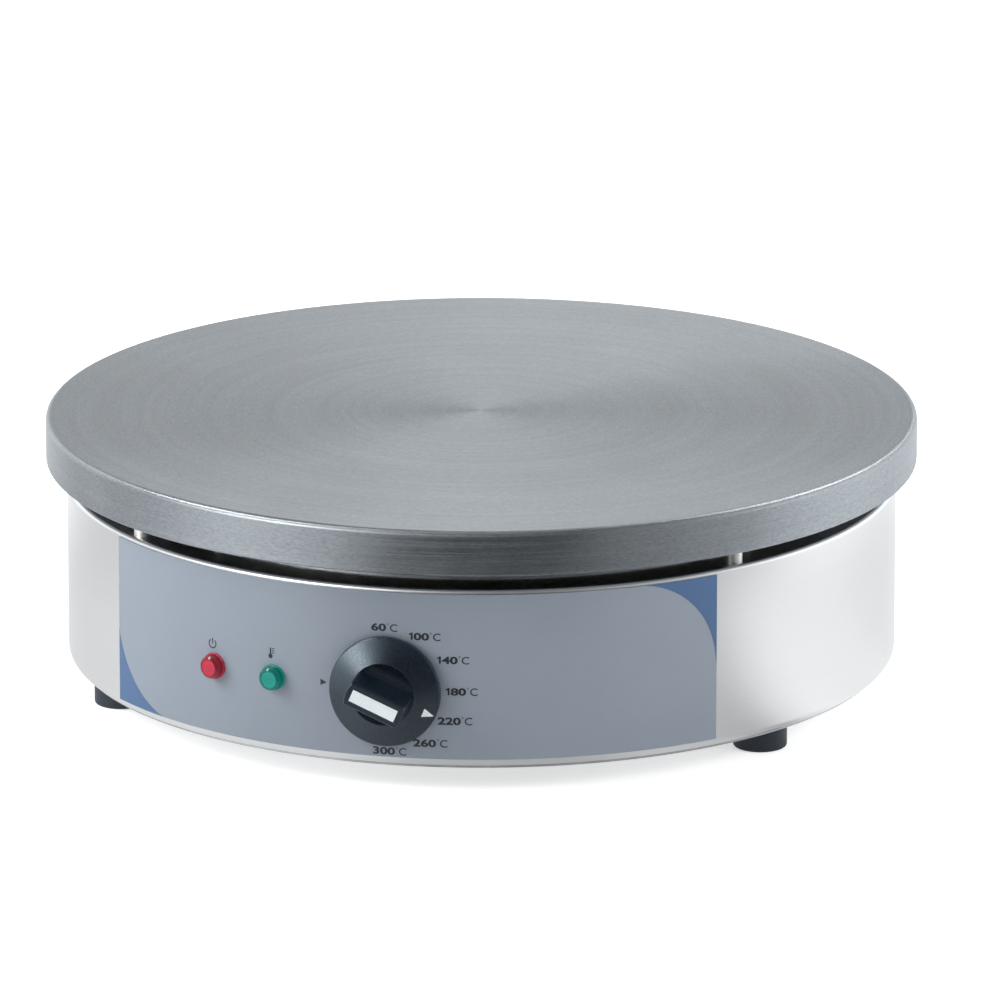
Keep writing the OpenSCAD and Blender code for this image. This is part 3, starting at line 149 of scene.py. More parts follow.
class Finish(Nodes):
    """A Principled material: constants on the shader's own sockets, and the nodes that vary it."""

    def __init__(self, name, colour, roughness, metallic=0.0, **sockets):
        self.material = bpy.data.materials.new(name)
        super().__init__(self.material)
        self.shader = self.tree.nodes["Principled BSDF"]
        self.place = self.add("ShaderNodeTexCoord").outputs["Object"]
        self.colour = colour
        self.set("Base Color", (*colour, 1))
        self.set("Roughness", roughness)
        self.set("Metallic", metallic)
        for socket, value in sockets.items():
            self.set(socket.replace("_", " "), value)

    def set(self, socket, operand):
        self.feed(self.shader.inputs[socket], operand)

    def noise(self, scale, detail=3.0, vector=None, rough=0.5):
        node = self.add("ShaderNodeTexNoise")
        for socket, value in (("Scale", scale), ("Detail", detail), ("Roughness", rough)):
            node.inputs[socket].default_value = value
        self.join(vector or self.place, node.inputs["Vector"])
        return node.outputs["Fac"]

    def height(self):
        return self.parts(self.place)[2]

    def reach(self):
        """How far a point stands from the +Z axis."""
        x, y = self.parts(self.place)[:2]
        return self.length(x, y)

    def off_axis(self, node):
        """How far a point stands from the level line out of the +Z axis through a node's middle."""
        low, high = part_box(node)
        middle = (low + high) / 2
        out = Vector((middle.x, middle.y)).normalized()
        x, y, z = self.parts(self.place)
        side = self.math("SUBTRACT", self.math("MULTIPLY", y, out.x),
                         self.math("MULTIPLY", x, out.y))
        return self.length(side, self.math("SUBTRACT", z, middle.z))

    def turned(self, around, across):
        """Coordinates slow round the +Z axis and fast across it, as marks of turning are."""
        x, y, z = self.parts(self.place)
        return self.combine("ShaderNodeCombineXYZ",
                            self.math("MULTIPLY", x, around), self.math("MULTIPLY", y, around),
                            self.math("MULTIPLY", self.math("SUBTRACT", self.reach(), z), across))

    def spread(self, fac, low, high, inside=(0.3, 0.7)):
        """Maps a noise, mostly between the two values of inside, to low ... high."""
        return self.map_range(fac, inside, (low, high))

    def mean(self, first, share, second):
        """The weighted mean of two outputs; share is the weight of the first."""
        return self.math("ADD", self.math("MULTIPLY", first, share),
                         self.math("MULTIPLY", second, 1 - share))

    def shade(self, *factors):
        """Multiplies the base colour by the factors."""
        total = factors[0]
        for factor in factors[1:]:
            total = self.math("MULTIPLY", total, factor)
        node = self.add("ShaderNodeVectorMath", operation="SCALE")
        node.inputs[0].default_value = self.colour
        self.join(total, node.inputs["Scale"])
        self.set("Base Color", node.outputs[0])

    def rough(self, fac, low, high):
        self.set("Roughness", self.spread(fac, low, high))

    def bump(self, height, depth):
        """Bump of a depth in metres."""
        node = self.add("ShaderNodeBump")
        node.inputs["Distance"].default_value = depth
        self.join(height, node.inputs["Height"])
        self.set("Normal", node.outputs[0])

    def grain_round_axis(self, amount):
        """Anisotropy along the marks that run round the +Z axis."""
        self.set("Anisotropic", amount)
        tangent = self.add("ShaderNodeTangent", direction_type="RADIAL", axis="Z")
        self.set("Tangent", tangent.outputs[0])


def just_under(level):
    """The band, close under a face, where the tone changes from that of the walls to the face's."""
    return level - 0.9 * MM, level - 0.1 * MM


def cast_iron():
    """Machined and seasoned: turning marks, a cloudy oil film, pores, and a cooking face darkened
    partly by seasoning and partly as painted shade.
    """
    f = Finish("cast_iron_plate", (0.390, 0.420, 0.448), 0.4, metallic=1.0)
    marks = f.noise(1.0, 5.0, f.turned(12, 1400), 0.66)
    grain = f.noise(1.0, 3.0, f.turned(400, 1800), 0.6)
    bands = f.noise(1.0, 2.0, f.turned(4, 260), 0.5)
    cloud = f.noise(16, 4.0)
    patina = f.noise(5.5, 2.0)
    pores = f.noise(900, 2.0)
    # Partly painted shade: the top face is made 7% darker than the walls, partly for seasoning and
    # partly as shade painted onto the cooking face.
    face = f.spread(f.height(), 1.0, 0.93, just_under(PLATE_TOP.z))
    f.shade(f.spread(marks, 0.92, 1.06), f.spread(grain, 0.82, 1.15), f.spread(bands, 0.95, 1.05),
            f.spread(cloud, 0.90, 1.08), f.spread(patina, 0.92, 1.07),
            f.spread(pores, 0.92, 1.0, (0.3, 0.42)), face)
    f.rough(f.mean(marks, 0.6, cloud), 0.30, 0.48)
    f.bump(f.math("ADD", f.math("ADD", marks, grain), f.math("MULTIPLY", pores, 0.3)), 0.02 * MM)
    f.grain_round_axis(0.45)
    return f.material


def brushed_stainless():
    """Sheet brushed round the drum: long fine scratches, a few deeper ones, faint cloudiness."""
    f = Finish("brushed_stainless", (0.88, 0.885, 0.89), 0.3, metallic=1.0)
    fine = f.noise(1.0, 6.0, f.turned(22, 4200), 0.7)
    coarse = f.noise(1.0, 3.0, f.turned(6, 700), 0.6)
    cloud = f.noise(9, 3.0)
    f.shade(f.spread(fine, 0.975, 1.01), f.spread(coarse, 0.99, 1.008),
            f.spread(cloud, 0.97, 1.015))
    f.rough(fine, 0.27, 0.33)
    f.bump(fine, 0.002 * MM)
    f.grain_round_axis(0.8)
    return f.material


def panel_film():
    """Printed polyester film: an even grey-blue with the fine texture of such film."""
    f = Finish("panel_film", (0.232, 0.268, 0.317), 0.38, Specular_IOR_Level=0.5)
    grain = f.noise(2600, 2.0)
    cloud = f.noise(14, 3.0)
    f.shade(f.spread(cloud, 0.97, 1.03), f.spread(grain, 0.98, 1.02))
    f.rough(cloud, 0.34, 0.42)
    f.bump(grain, 0.004 * MM)
    return f.material


def print_ink(name, colour, roughness=0.5):
    """A thin printed layer on the film."""
    f = Finish(name, colour, roughness)
    grain = f.noise(3000, 2.0)
    f.shade(f.spread(grain, 0.94, 1.06))
    f.bump(grain, 0.003 * MM)
    return f.material


def knob_black():
    """Black moulding with a finely blasted surface that sparkles in its highlights."""
    f = Finish("knob_black", (0.005, 0.009, 0.016), 0.3, Specular_IOR_Level=1.0,
               Specular_Tint=(0.74, 0.90, 1.0, 1))
    grit = f.noise(1500, 3.0, rough=0.6)
    cloud = f.noise(90, 3.0)
    f.shade(f.spread(cloud, 0.8, 1.2), f.spread(grit, 0.8, 1.25))
    f.rough(f.mean(grit, 0.7, cloud), 0.24, 0.36)
    f.bump(grit, 0.06 * MM)
    return f.material


def knob_white():
    """The white of the knob's inlay and pointer."""
    f = Finish("knob_white", (0.72, 0.78, 0.80), 0.4)
    grain = f.noise(700, 3.0)
    f.shade(f.spread(grain, 0.96, 1.0))
    f.rough(grain, 0.35, 0.48)
    return f.material


LENS_FACE = PANEL_R + 5 * MM     # how far out the lenses' faces stand

# Distances from a lens's own axis between which its painted light and shade change
LENS_CENTRE = (1.2 * MM, 3.0 * MM)
LENS_EDGE = (3.3 * MM, 4.0 * MM)
LENS_FLANGE = (5.15 * MM, 5.5 * MM)


def lens(name, colour, painted_glow, node):
    """A translucent moulded lens with a painted glow, painted light on its face and painted shade
    at its edge and sides.
    """
    # Emission Color and Emission Strength give a painted glow: a weak light of the lens's own that
    # stands in for light passing through it.
    f = Finish(name, colour, 0.12, Transmission_Weight=0.35, IOR=1.49, Coat_Weight=0.2,
               Coat_Roughness=0.08, Emission_Color=(*painted_glow, 1), Emission_Strength=0.12,
               Specular_IOR_Level=0.3)
    swirl = f.noise(160, 3.0)
    from_axis = f.off_axis(node)
    # Painted light and shade: the sides are darker than the face, the middle slightly dimmer inside
    # a lighter ring, and a dark ring is painted at the face's edge; the flange is kept at 0.75 of
    # the colour.
    face = f.spread(f.reach(), 0.42, 1.0, just_under(LENS_FACE))
    centre = f.spread(from_axis, 0.85, 1.0, LENS_CENTRE)
    edge = f.spread(from_axis, 1.0, 0.28, LENS_EDGE)
    flange = f.spread(from_axis, 0.0, 0.75, LENS_FLANGE)
    painted_light_and_shade = f.math("MULTIPLY", face, f.math("MULTIPLY", centre, edge))
    f.shade(f.spread(swirl, 0.9, 1.08), f.math("MAXIMUM", painted_light_and_shade, flange))
    f.rough(swirl, 0.08, 0.2)
    return f.material


def moulded(name, colour, roughness, grain=1400, depth=0.012):
    """Plain moulded plastic, rubber or ceramic: a fine skin texture over slow clouding."""
    f = Finish(name, colour, roughness)
    skin = f.noise(grain, 3.0)
    cloud = f.noise(60, 3.0)
    f.shade(f.spread(cloud, 0.88, 1.1), f.spread(skin, 0.95, 1.04))
    f.rough(cloud, roughness - 0.06, roughness + 0.08)
    f.bump(skin, depth * MM)
    return f.material


def steel(name, colour, roughness, scratches=260, depth=0.006):
    """Plated or coated metal: faint blotches and short drawn marks."""
    f = Finish(name, colour, roughness, metallic=1.0)
    blotch = f.noise(120, 4.0)
    drawn = f.noise(scratches, 5.0, rough=0.7)
    f.shade(f.spread(blotch, 0.86, 1.1), f.spread(drawn, 0.94, 1.05))
    f.rough(drawn, roughness - 0.07, roughness + 0.1)
    f.bump(drawn, depth * MM)
    return f.material


def mineral_wool():
    """A blanket of fine fibres, matted and uneven."""
    f = Finish("mineral_wool", (0.72, 0.69, 0.60), 0.95)
    fibres = f.noise(420, 6.0, rough=0.75)
    clumps = f.noise(55, 4.0)
    f.shade(f.spread(fibres, 0.75, 1.1), f.spread(clumps, 0.85, 1.08))
    f.bump(f.math("ADD", fibres, clumps), 0.6 * MM)
    f.set("Sheen Weight", 0.3)
    return f.material


# Plain materials: colour, roughness, and where they differ the grain's scale and its depth in mm
MOULDED = {
    "foot_rubber": ((0.017, 0.026, 0.038), 0.5),
    "lamp_body": ((0.78, 0.78, 0.75), 0.4),
    "porcelain": ((0.82, 0.79, 0.72), 0.45),
    "phenolic_black": ((0.028, 0.027, 0.027), 0.42),
    "nylon_black": ((0.022, 0.022, 0.025), 0.45, 900, 0.02),
    "seal_rubber": ((0.018, 0.018, 0.018), 0.7),
    "wire_brown": ((0.13, 0.05, 0.02), 0.5),
    "wire_blue": ((0.03, 0.11, 0.42), 0.5),
    "wire_black": ((0.02, 0.02, 0.02), 0.5),
    "wire_green": ((0.16, 0.40, 0.04), 0.5),
}
STEEL = {
    "bright_steel": ((0.86, 0.84, 0.80), 0.42),
    "zinc_steel": ((0.60, 0.61, 0.63), 0.32),
    "clamp_steel": ((0.13, 0.135, 0.14), 0.5),
    "aluminised_steel": ((0.56, 0.57, 0.58), 0.42, 90, 0.02),
    "element_sheath": ((0.12, 0.115, 0.10), 0.48, 180, 0.02),
    "copper": ((0.74, 0.36, 0.22), 0.3),
    "terminal_brass": ((0.72, 0.54, 0.22), 0.28),
}


def make_finishes():
    """Every material slot of the record, by its name."""
    made = {
        "cast_iron_plate": cast_iron(),
        "brushed_stainless": brushed_stainless(),
        "panel_film": panel_film(),
        "knob_black": knob_black(),
        "knob_white": knob_white(),
        # The third colour given to each lens is its painted glow.
        "lens_red": lens("lens_red", (0.50, 0.02, 0.05), (1.0, 0.06, 0.14), "power_lens"),
        "lens_green": lens("lens_green", (0.0, 0.25, 0.20), (0.0, 0.75, 0.62), "ready_lens"),
        "mineral_wool": mineral_wool(),
    }
    made.update({name: moulded(name, *values) for name, values in MOULDED.items()})
    made.update({name: steel(name, *values) for name, values in STEEL.items()})
    return made


def dress(finishes):
    """Gives each CAD node the material of its slot."""
    for part in frame["record"]["subparts"]:
        node = frame["nodes"][part["node"]]
        node.data.materials.clear()
        node.data.materials.append(finishes[part["material_slot"]])


# ---- Rolled edges ----

ROLL_STEPS = 8
ARC_FIT = 0.03 * MM          # how near the arc a vertex on it lies
SAME = 0.001 * MM            # less than this between two corners of a face makes it level
SAME_ANGLE = 1e-5            # less than this between two points of a ring makes them one

PLATE_EDGE_R = 2.5 * MM
SHELL_TOP_R = 2.0 * MM
SHELL_FOOT_R = 3.5 * MM

# Each roll: its arc's centre as a radius and a height, the arc's radius, and +1 up or -1 down
PLATE_ROLLS = [(PLATE_TOP.x - PLATE_EDGE_R, PLATE_TOP.z - PLATE_EDGE_R, PLATE_EDGE_R, 1)]
SHELL_ROLLS = [(SHELL_HIGH.x - SHELL_TOP_R, SHELL_HIGH.z - SHELL_TOP_R, SHELL_TOP_R, 1),
               (SHELL_HIGH.x - SHELL_FOOT_R, SHELL_LOW.z + SHELL_FOOT_R, SHELL_FOOT_R, -1)]


def on_roll(corners, roll):
    """Whether a face lies on a roll, and not on the wall or the flat beside it."""
    centre_r, centre_z, arc, side = roll
    offsets = [(hypot(co.x, co.y) - centre_r, (co.z - centre_z) * side) for co in corners]
    if any(abs(hypot(r, z) - arc) > ARC_FIT or r < -ARC_FIT or z < -ARC_FIT for r, z in offsets):
        return False
    rs, zs = zip(*offsets)
    return max(rs) - min(rs) > SAME and max(zs) - min(zs) > SAME


def ring_angles(points, r, z):
    """The angles, in order, of the points on a ring; points that coincide count once."""
    found = sorted(atan2(co.y, co.x) for co in points
                   if abs(hypot(co.x, co.y) - r) < ARC_FIT and abs(co.z - z) < ARC_FIT)
    return [a for i, a in enumerate(found) if i == 0 or a - found[i - 1] > SAME_ANGLE]


def add_roll(points, faces, normals, roll):
    """Rebuilds a roll from even rings, with the exact normal at each corner."""
    centre_r, centre_z, arc, side = roll
    wall = ring_angles(points, centre_r + arc, centre_z)
    flat = ring_angles(points, centre_r, centre_z + side * arc)
    rows, outs = [], {}
    for step in range(ROLL_STEPS + 1):
        lean = step / ROLL_STEPS * pi / 2
        row = []
        for angle in flat if step == ROLL_STEPS else wall:
            out = Vector((cos(angle) * cos(lean), sin(angle) * cos(lean), side * sin(lean)))
            rim = Vector((cos(angle), sin(angle), 0)) * centre_r + Vector((0, 0, centre_z))
            outs[len(points)] = out
            row.append(len(points))
            points.append(rim + out * arc)
        rows.append(row)

    def add(*corners):
        corners = corners if side > 0 else corners[::-1]
        faces.append(corners)
        normals.extend(outs[i] for i in corners)

    for low, high in zip(rows[:-2], rows[1:-1]):
        for i in range(len(wall)):
            j = (i + 1) % len(wall)
            add(low[i], low[j], high[j], high[i])
    # The last band joins rings whose points stand at different angles
    low, high = rows[-2], rows[-1]
    low_next, high_next = wall[1:] + [wall[0] + 2 * pi], flat[1:] + [flat[0] + 2 * pi]
    i = j = 0
    while i < len(low) or j < len(high):
        if j == len(high) or (i < len(low) and low_next[i] <= high_next[j]):
            add(low[i], low[(i + 1) % len(low)], high[j % len(high)])
            i += 1
        else:
            add(low[i % len(low)], high[(j + 1) % len(high)], high[j])
            j += 1


def even_rolls(node, material, rolls):
    """A copy of a turned CAD piece that stands in for it, its rolled edges divided evenly."""
    source = frame["nodes"][node].data
    points = [vertex.co.copy() for vertex in source.vertices]
    faces, normals = [], []
    for face in source.polygons:
        if not any(on_roll([points[i] for i in face.vertices], roll) for roll in rolls):
            faces.append(tuple(face.vertices))
            normals += [source.corner_normals[i].vector.copy() for i in face.loop_indices]
    for roll in rolls:
        add_roll(points, faces, normals, roll)
    used = {old: new for new, old in enumerate(sorted({i for face in faces for i in face}))}
    mesh = bpy.data.meshes.new(node + "_even")
    mesh.from_pydata([points[i] for i in used], [],
                     [tuple(used[i] for i in face) for face in faces])
    mesh.polygons.foreach_set("use_smooth", [True] * len(faces))
    mesh.normals_split_custom_set(normals)
    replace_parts(add_piece(node + "_even", mesh, "cooker", material), node)


# ---- The panel's print: drawn flat with a thickness of 1, then wrapped onto the film ----

INK_T = 0.05 * MM            # how far the print stands proud of the film
INK_SINK = 0.06 * MM         # how far it reaches into the film, so that it leaves no gap
WELD = 0.0001 * MM           # how near two points are that become one
CORNER_STEPS = 36
DISC_STEPS = 16
DEGREE_STEPS = 12


def on_panel(u, z, proud):
    """Point on the panel: u along its arc from the front, z up, and a distance out of its face."""
    bearing = u / PANEL_R
    r = PANEL_R + proud
    return Vector((r * sin(bearing), -r * cos(bearing), z))


def add_piece(name, mesh, body, material):
    """A new piece of the part, riding on a body."""
    obj = bpy.data.objects.new(name, mesh)
    bpy.context.scene.collection.objects.link(obj)
    mesh.materials.clear()
    mesh.materials.append(material)
    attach(obj, body)
    return obj


def printed(name, bm, ink):
    """Turns a flat drawing into a piece printed on the panel."""
    bmesh.ops.remove_doubles(bm, verts=bm.verts, dist=WELD)
    for vert in bm.verts:
        u, z, depth = vert.co
        vert.co = on_panel(u, z, -INK_SINK + depth * (INK_T + INK_SINK))
    bmesh.ops.recalc_face_normals(bm, faces=bm.faces)
    mesh = bpy.data.meshes.new(name)
    bm.to_mesh(mesh)
    bm.free()
    add_piece(name, mesh, "cooker", ink)


def prism(bm, points):
    """A prism over a flat outline."""
    low = [bm.verts.new((x, y, 0)) for x, y in points]
    high = [bm.verts.new((x, y, 1)) for x, y in points]
    bm.faces.new(reversed(low))
    bm.faces.new(high)
    for i in range(len(points)):
        j = (i + 1) % len(points)
        bm.faces.new((low[i], low[j], high[j], high[i]))


def bar(bm, x, y, wide, high):
    """A rectangle about a middle."""
    prism(bm, [(x - wide / 2, y - high / 2), (x + wide / 2, y - high / 2),
               (x + wide / 2, y + high / 2), (x - wide / 2, y + high / 2)])


def strip(bm, columns, closed):
    """The faces of a band between columns of four points, two and two in the same order."""
    for a, b in zip(columns, columns[1:] + columns[:1] if closed else columns[1:]):
        for i, j in ((0, 1), (1, 3), (3, 2), (2, 0)):
            bm.faces.new((a[i], b[i], b[j], a[j]))
    if not closed:
        for end in (columns[0], columns[-1]):
            bm.faces.new((end[0], end[1], end[3], end[2]))


def add_arc(bm, centre, radius, thick, start=0.0, sweep=2 * pi, steps=24):
    """A band along an arc; a full turn makes a closed ring."""
    full = sweep >= 2 * pi
    columns = []
    for i in range(steps if full else steps + 1):
        a = start + sweep * i / steps
        columns.append([bm.verts.new((centre[0] + r * cos(a), centre[1] + r * sin(a), depth))
                        for r in (radius - thick / 2, radius + thick / 2) for depth in (0, 1)])
    strip(bm, columns, full)


def add_word(bm, text, size, weight, stretch, x, y):
    """A word with its left end at x and its foot at y; returns where it ends."""
    curve = bpy.data.curves.new(text, "FONT")
    curve.body = text
    curve.size = size
    curve.offset = weight
    curve.resolution_u = 4
    curve.extrude = 0.5      # to each side
    obj = bpy.data.objects.new(text, curve)
    bpy.context.scene.collection.objects.link(obj)
    bpy.context.view_layer.update()
    mesh = bpy.data.meshes.new_from_object(obj)
    bpy.data.objects.remove(obj)
    bpy.data.curves.remove(curve)
    left = min(v.co.x for v in mesh.vertices)
    for vert in mesh.vertices:
        vert.co = ((vert.co.x - left) * stretch + x, vert.co.y + y, vert.co.z + 0.5)
    right = max(v.co.x for v in mesh.vertices)
    bm.from_mesh(mesh)
    bpy.data.meshes.remove(mesh)
    return right


def corner_field(name, centre, radius, side, ink):
    """A blue corner of the panel: what lies between a circle and the panel's edge.

    side is +1 for the upper right corner and -1 for the lower left one.
    """
    edge_z = PANEL_HIGH.z if side > 0 else PANEL_LOW.z
    edge_u = PANEL_HALF * PANEL_R
    start_u = centre[0] * side + sqrt(radius ** 2 - (edge_z - centre[1]) ** 2)
    bm = bmesh.new()
    columns = []
    for i in range(CORNER_STEPS + 1):
        u = start_u + (edge_u - start_u) * i / CORNER_STEPS
        curve_z = centre[1] + side * sqrt(max(radius ** 2 - (u - centre[0] * side) ** 2, 0))
        columns.append([bm.verts.new((side * u, z, depth))
                        for depth in (0, 1) for z in (curve_z, edge_z)])
    strip(bm, columns, False)
    printed(name, bm, ink)


# The dial's bold figures; a 1 is drawn apart, as a stroke with a flag
FIGURE = 4.6 * MM            # size, as a font's
FIGURE_WEIGHT = 0.15 * MM    # how far the strokes are thickened
FIGURE_STRETCH = 1.5
FIGURE_MIDDLE = 0.35         # height of the middle, as a share of the size
ONE_W = 0.85 * MM            # width of a 1's stroke
ONE_FLAG = 0.85 * MM         # how far its flag reaches
ONE_GAP = 0.45 * MM          # room after it
ONE_SLOPE = 0.3 * MM         # how far into the stroke the flag's upper edge runs to meet the top
ONE_TIP = (0.65 * MM, 1.25 * MM)     # how far below the top the flag's tip starts and ends
ONE_ROOT = 0.95 * MM         # how far below the top its lower edge meets the stroke

# The degree ring and the light C after the figures
UNIT = 5.0 * MM
UNIT_WEIGHT = 0.03 * MM
UNIT_STRETCH = 1.08
UNIT_DROP = 0.15 * MM
DEGREE_GAP = 1.75 * MM       # room for the ring
DEGREE_PLACE = 0.45          # where in that room it stands
DEGREE_HEIGHT = 3.2 * MM
DEGREE_R = 0.34 * MM
DEGREE_LINE = 0.17 * MM


def add_figures(bm, text):
    """Bold figures from x = 0; returns where they end."""
    start = ONE_FLAG + ONE_W + ONE_GAP if text[0] == "1" else 0
    end = add_word(bm, text.lstrip("1"), FIGURE, FIGURE_WEIGHT, FIGURE_STRETCH, start, 0)
    if start:
        top = max(vert.co.y for vert in bm.verts)
        left, right = ONE_FLAG, ONE_FLAG + ONE_W
        prism(bm, [(left, 0), (right, 0), (right, top), (left + ONE_SLOPE, top),
                   (0, top - ONE_TIP[0]), (0, top - ONE_TIP[1]), (left, top - ONE_ROOT)])
    return end


def dial_label(number, u, z, ink):
    """A temperature on the dial, centred on u and z."""
    bm = bmesh.new()
    figures_end = add_figures(bm, str(number))
    add_arc(bm, (figures_end + DEGREE_GAP * DEGREE_PLACE, DEGREE_HEIGHT), DEGREE_R, DEGREE_LINE,
            steps=DEGREE_STEPS)
    end = add_word(bm, "C", UNIT, UNIT_WEIGHT, UNIT_STRETCH, figures_end + DEGREE_GAP, -UNIT_DROP)
    for vert in bm.verts:
        vert.co += Vector((u - end / 2, z - FIGURE * FIGURE_MIDDLE, 0))
    printed(f"dial_{number}", bm, ink)


# Places on the panel in mm, each as an arc length from the front and a height
DIAL = {60: (-0.8, 76.0), 100: (17.5, 72.6), 140: (30.2, 62.0), 180: (34.0, 47.4),
        220: (31.0, 33.7), 260: (19.9, 23.1), 300: (1.5, 18.6)}
OFF_MARK = (-29.3, 48.0)
POWER_SIGN = (-87.6, 57.1)
READY_SIGN = (-55.7, 58.1)
UPPER_CORNER = (111.7, 50.6)     # centres of the circles that bound the blue corners
LOWER_CORNER = (-109.1, 61.4)

UPPER_CORNER_R = 42.2 * MM
LOWER_CORNER_R = 46.8 * MM
OFF_HALF = 1.5 * MM          # half the off mark's width and height

POWER_R = 2.0 * MM           # the open ring and the stroke through its gap
POWER_LINE = 0.55 * MM
POWER_STROKE = 2.6 * MM
POWER_START, POWER_SWEEP = radians(125), radians(290)

BULB_R = 1.1 * MM            # the thermometer: bulb, stem and three ticks
BULB_DROP = 1.4 * MM
STEM_W, STEM_H, STEM_RISE = 0.75 * MM, 3.6 * MM, 0.7 * MM
TICK_W, TICK_T, TICK_SIDE = 1.2 * MM, 0.4 * MM, 1.4 * MM
TICK_HEIGHTS = (0.2 * MM, 1.2 * MM, 2.2 * MM)


def in_metres(place):
    return tuple(value * MM for value in place)


def print_panel():
    """Everything printed on the film: the corner fields, the dial and the signs over the lamps."""
    ink = print_ink("print_dark", (0.012, 0.016, 0.024))
    blue = print_ink("print_blue", (0.060, 0.122, 0.245), 0.4)
    corner_field("corner_upper_right", in_metres(UPPER_CORNER), UPPER_CORNER_R, 1, blue)
    corner_field("corner_lower_left", in_metres(LOWER_CORNER), LOWER_CORNER_R, -1, blue)
    for number, place in DIAL.items():
        dial_label(number, *in_metres(place), ink)

    u, z = in_metres(OFF_MARK)
    bm = bmesh.new()
    prism(bm, [(u - OFF_HALF, z - OFF_HALF), (u + OFF_HALF, z), (u - OFF_HALF, z + OFF_HALF)])
    printed("off_mark", bm, ink)

    u, z = in_metres(POWER_SIGN)
    bm = bmesh.new()
    add_arc(bm, (u, z), POWER_R, POWER_LINE, POWER_START, POWER_SWEEP)
    bar(bm, u, z + POWER_STROKE / 2, POWER_LINE, POWER_STROKE)
    printed("power_sign", bm, ink)

    u, z = in_metres(READY_SIGN)
    bm = bmesh.new()
    add_arc(bm, (u, z - BULB_DROP), BULB_R / 2, BULB_R, steps=DISC_STEPS)
    bar(bm, u, z + STEM_RISE, STEM_W, STEM_H)
    for height in TICK_HEIGHTS:
        bar(bm, u + TICK_SIDE, z + height, TICK_W, TICK_T)
    printed("ready_sign", bm, ink)


# ---- Studio ----

# Brightness of the studio round the part, by bearing: white behind and at the sides, a softbox at
# the front left, and the dark room behind the camera
STUDIO = ((-180, 0.95), (-150, 1.05), (-132, 1.38), (-110, 1.1), (-95, 0.72), (-80, 0.64),
          (-62, 0.84), (-38, 1.42), (-24, 1.08), (-9, 0.07), (27, 0.02), (46, 0.34), (60, 0.50),
          (78, 0.42), (92, 1.38), (100, 1.48), (125, 1.38), (150, 1.25), (165, 1.2), (180, 0.95))

# Brightness of the table top close to the part, by bearing
TABLE = ((-180, 0.86), (-90, 0.84), (-40, 0.84), (-15, 0.78), (8, 0.48), (25, 0.46), (40, 0.60),
         (50, 0.58), (57, 0.48), (63, 0.48), (69, 0.92), (76, 1.10), (86, 1.02), (98, 1.02),
         (112, 0.92), (150, 0.88), (180, 0.86))

COOL = (0.985, 1, 1.012)     # tint of both

# Heights below are those of a direction of length 1
ROOM = 0.08                  # least brightness of the walls
WALL_FADE = (0.3, 0.65)      # heights between which walls and ceiling fade
FADED = 0.5                  # what the fading leaves of them
CEILING = 0.5                # brightness overhead, before the fading
CEILING_START = (0.65, 0.9)  # heights between which the ceiling takes over from the walls

FLOOR_HALF = 4.0
FLOOR_PAPER = 0.8            # its diffuse colour
FLOOR_LIFT = 0.55            # light added where the camera sees it, so that it shows white
# Up to the near radius the floor mirrors as the table, and from the far one on as the studio. At
# the right both lie farther out, by a length that grows between two values of x.
FLOOR_NEAR, FLOOR_FAR = 0.28, 0.44
FLOOR_RIGHT = 0.12
FLOOR_RIGHT_START = (0.1, 0.35)


def grey(value):
    return value, value, value, 1


def tone_ramp(nodes, x, y, tones):
    """Turns the bearing of a direction or a place into a brightness; x and y are outputs."""
    bearing = nodes.math("ARCTAN2", x, nodes.math("MULTIPLY", y, -1))
    ramp = nodes.add("ShaderNodeValToRGB")
    ramp.color_ramp.interpolation = "EASE"
    stops = ramp.color_ramp.elements
    while len(stops) < len(tones):
        stops.new(0.5)
    for stop, (angle, value) in zip(stops, tones):
        stop.position = (angle + 180) / 360
        stop.color = (*(value * tint for tint in COOL), 1)
    nodes.join(nodes.map_range(bearing, (-pi, pi), (0, 1)), ramp.inputs[0])
    return ramp.outputs[0]


def make_world():
    """The studio's tones to the part, and plain white to the camera."""
    world = bpy.data.worlds.new("studio")
    bpy.context.scene.world = world
    nodes = Nodes(world)
    nodes.tree.nodes.clear()
    x, y, z = nodes.parts(nodes.add("ShaderNodeTexCoord").outputs["Generated"])
    walls = nodes.add("ShaderNodeVectorMath", operation="MAXIMUM")
    nodes.join(tone_ramp(nodes, x, y, STUDIO), walls.inputs[0])
    walls.inputs[1].default_value = (ROOM, ROOM, ROOM)
    overhead = nodes.map_range(z, CEILING_START, (0, 1), "SMOOTHSTEP")
    studio = nodes.surface("ShaderNodeBackground",
                           Color=nodes.blend(overhead, walls.outputs[0], grey(CEILING)),
                           Strength=nodes.map_range(z, WALL_FADE, (1, FADED), "SMOOTHSTEP"))
    white = nodes.surface("ShaderNodeBackground", Color=grey(1))
    both = nodes.combine("ShaderNodeMixShader", nodes.seen_through(), studio, white)
    nodes.join(both, nodes.add("ShaderNodeOutputWorld").inputs[0])


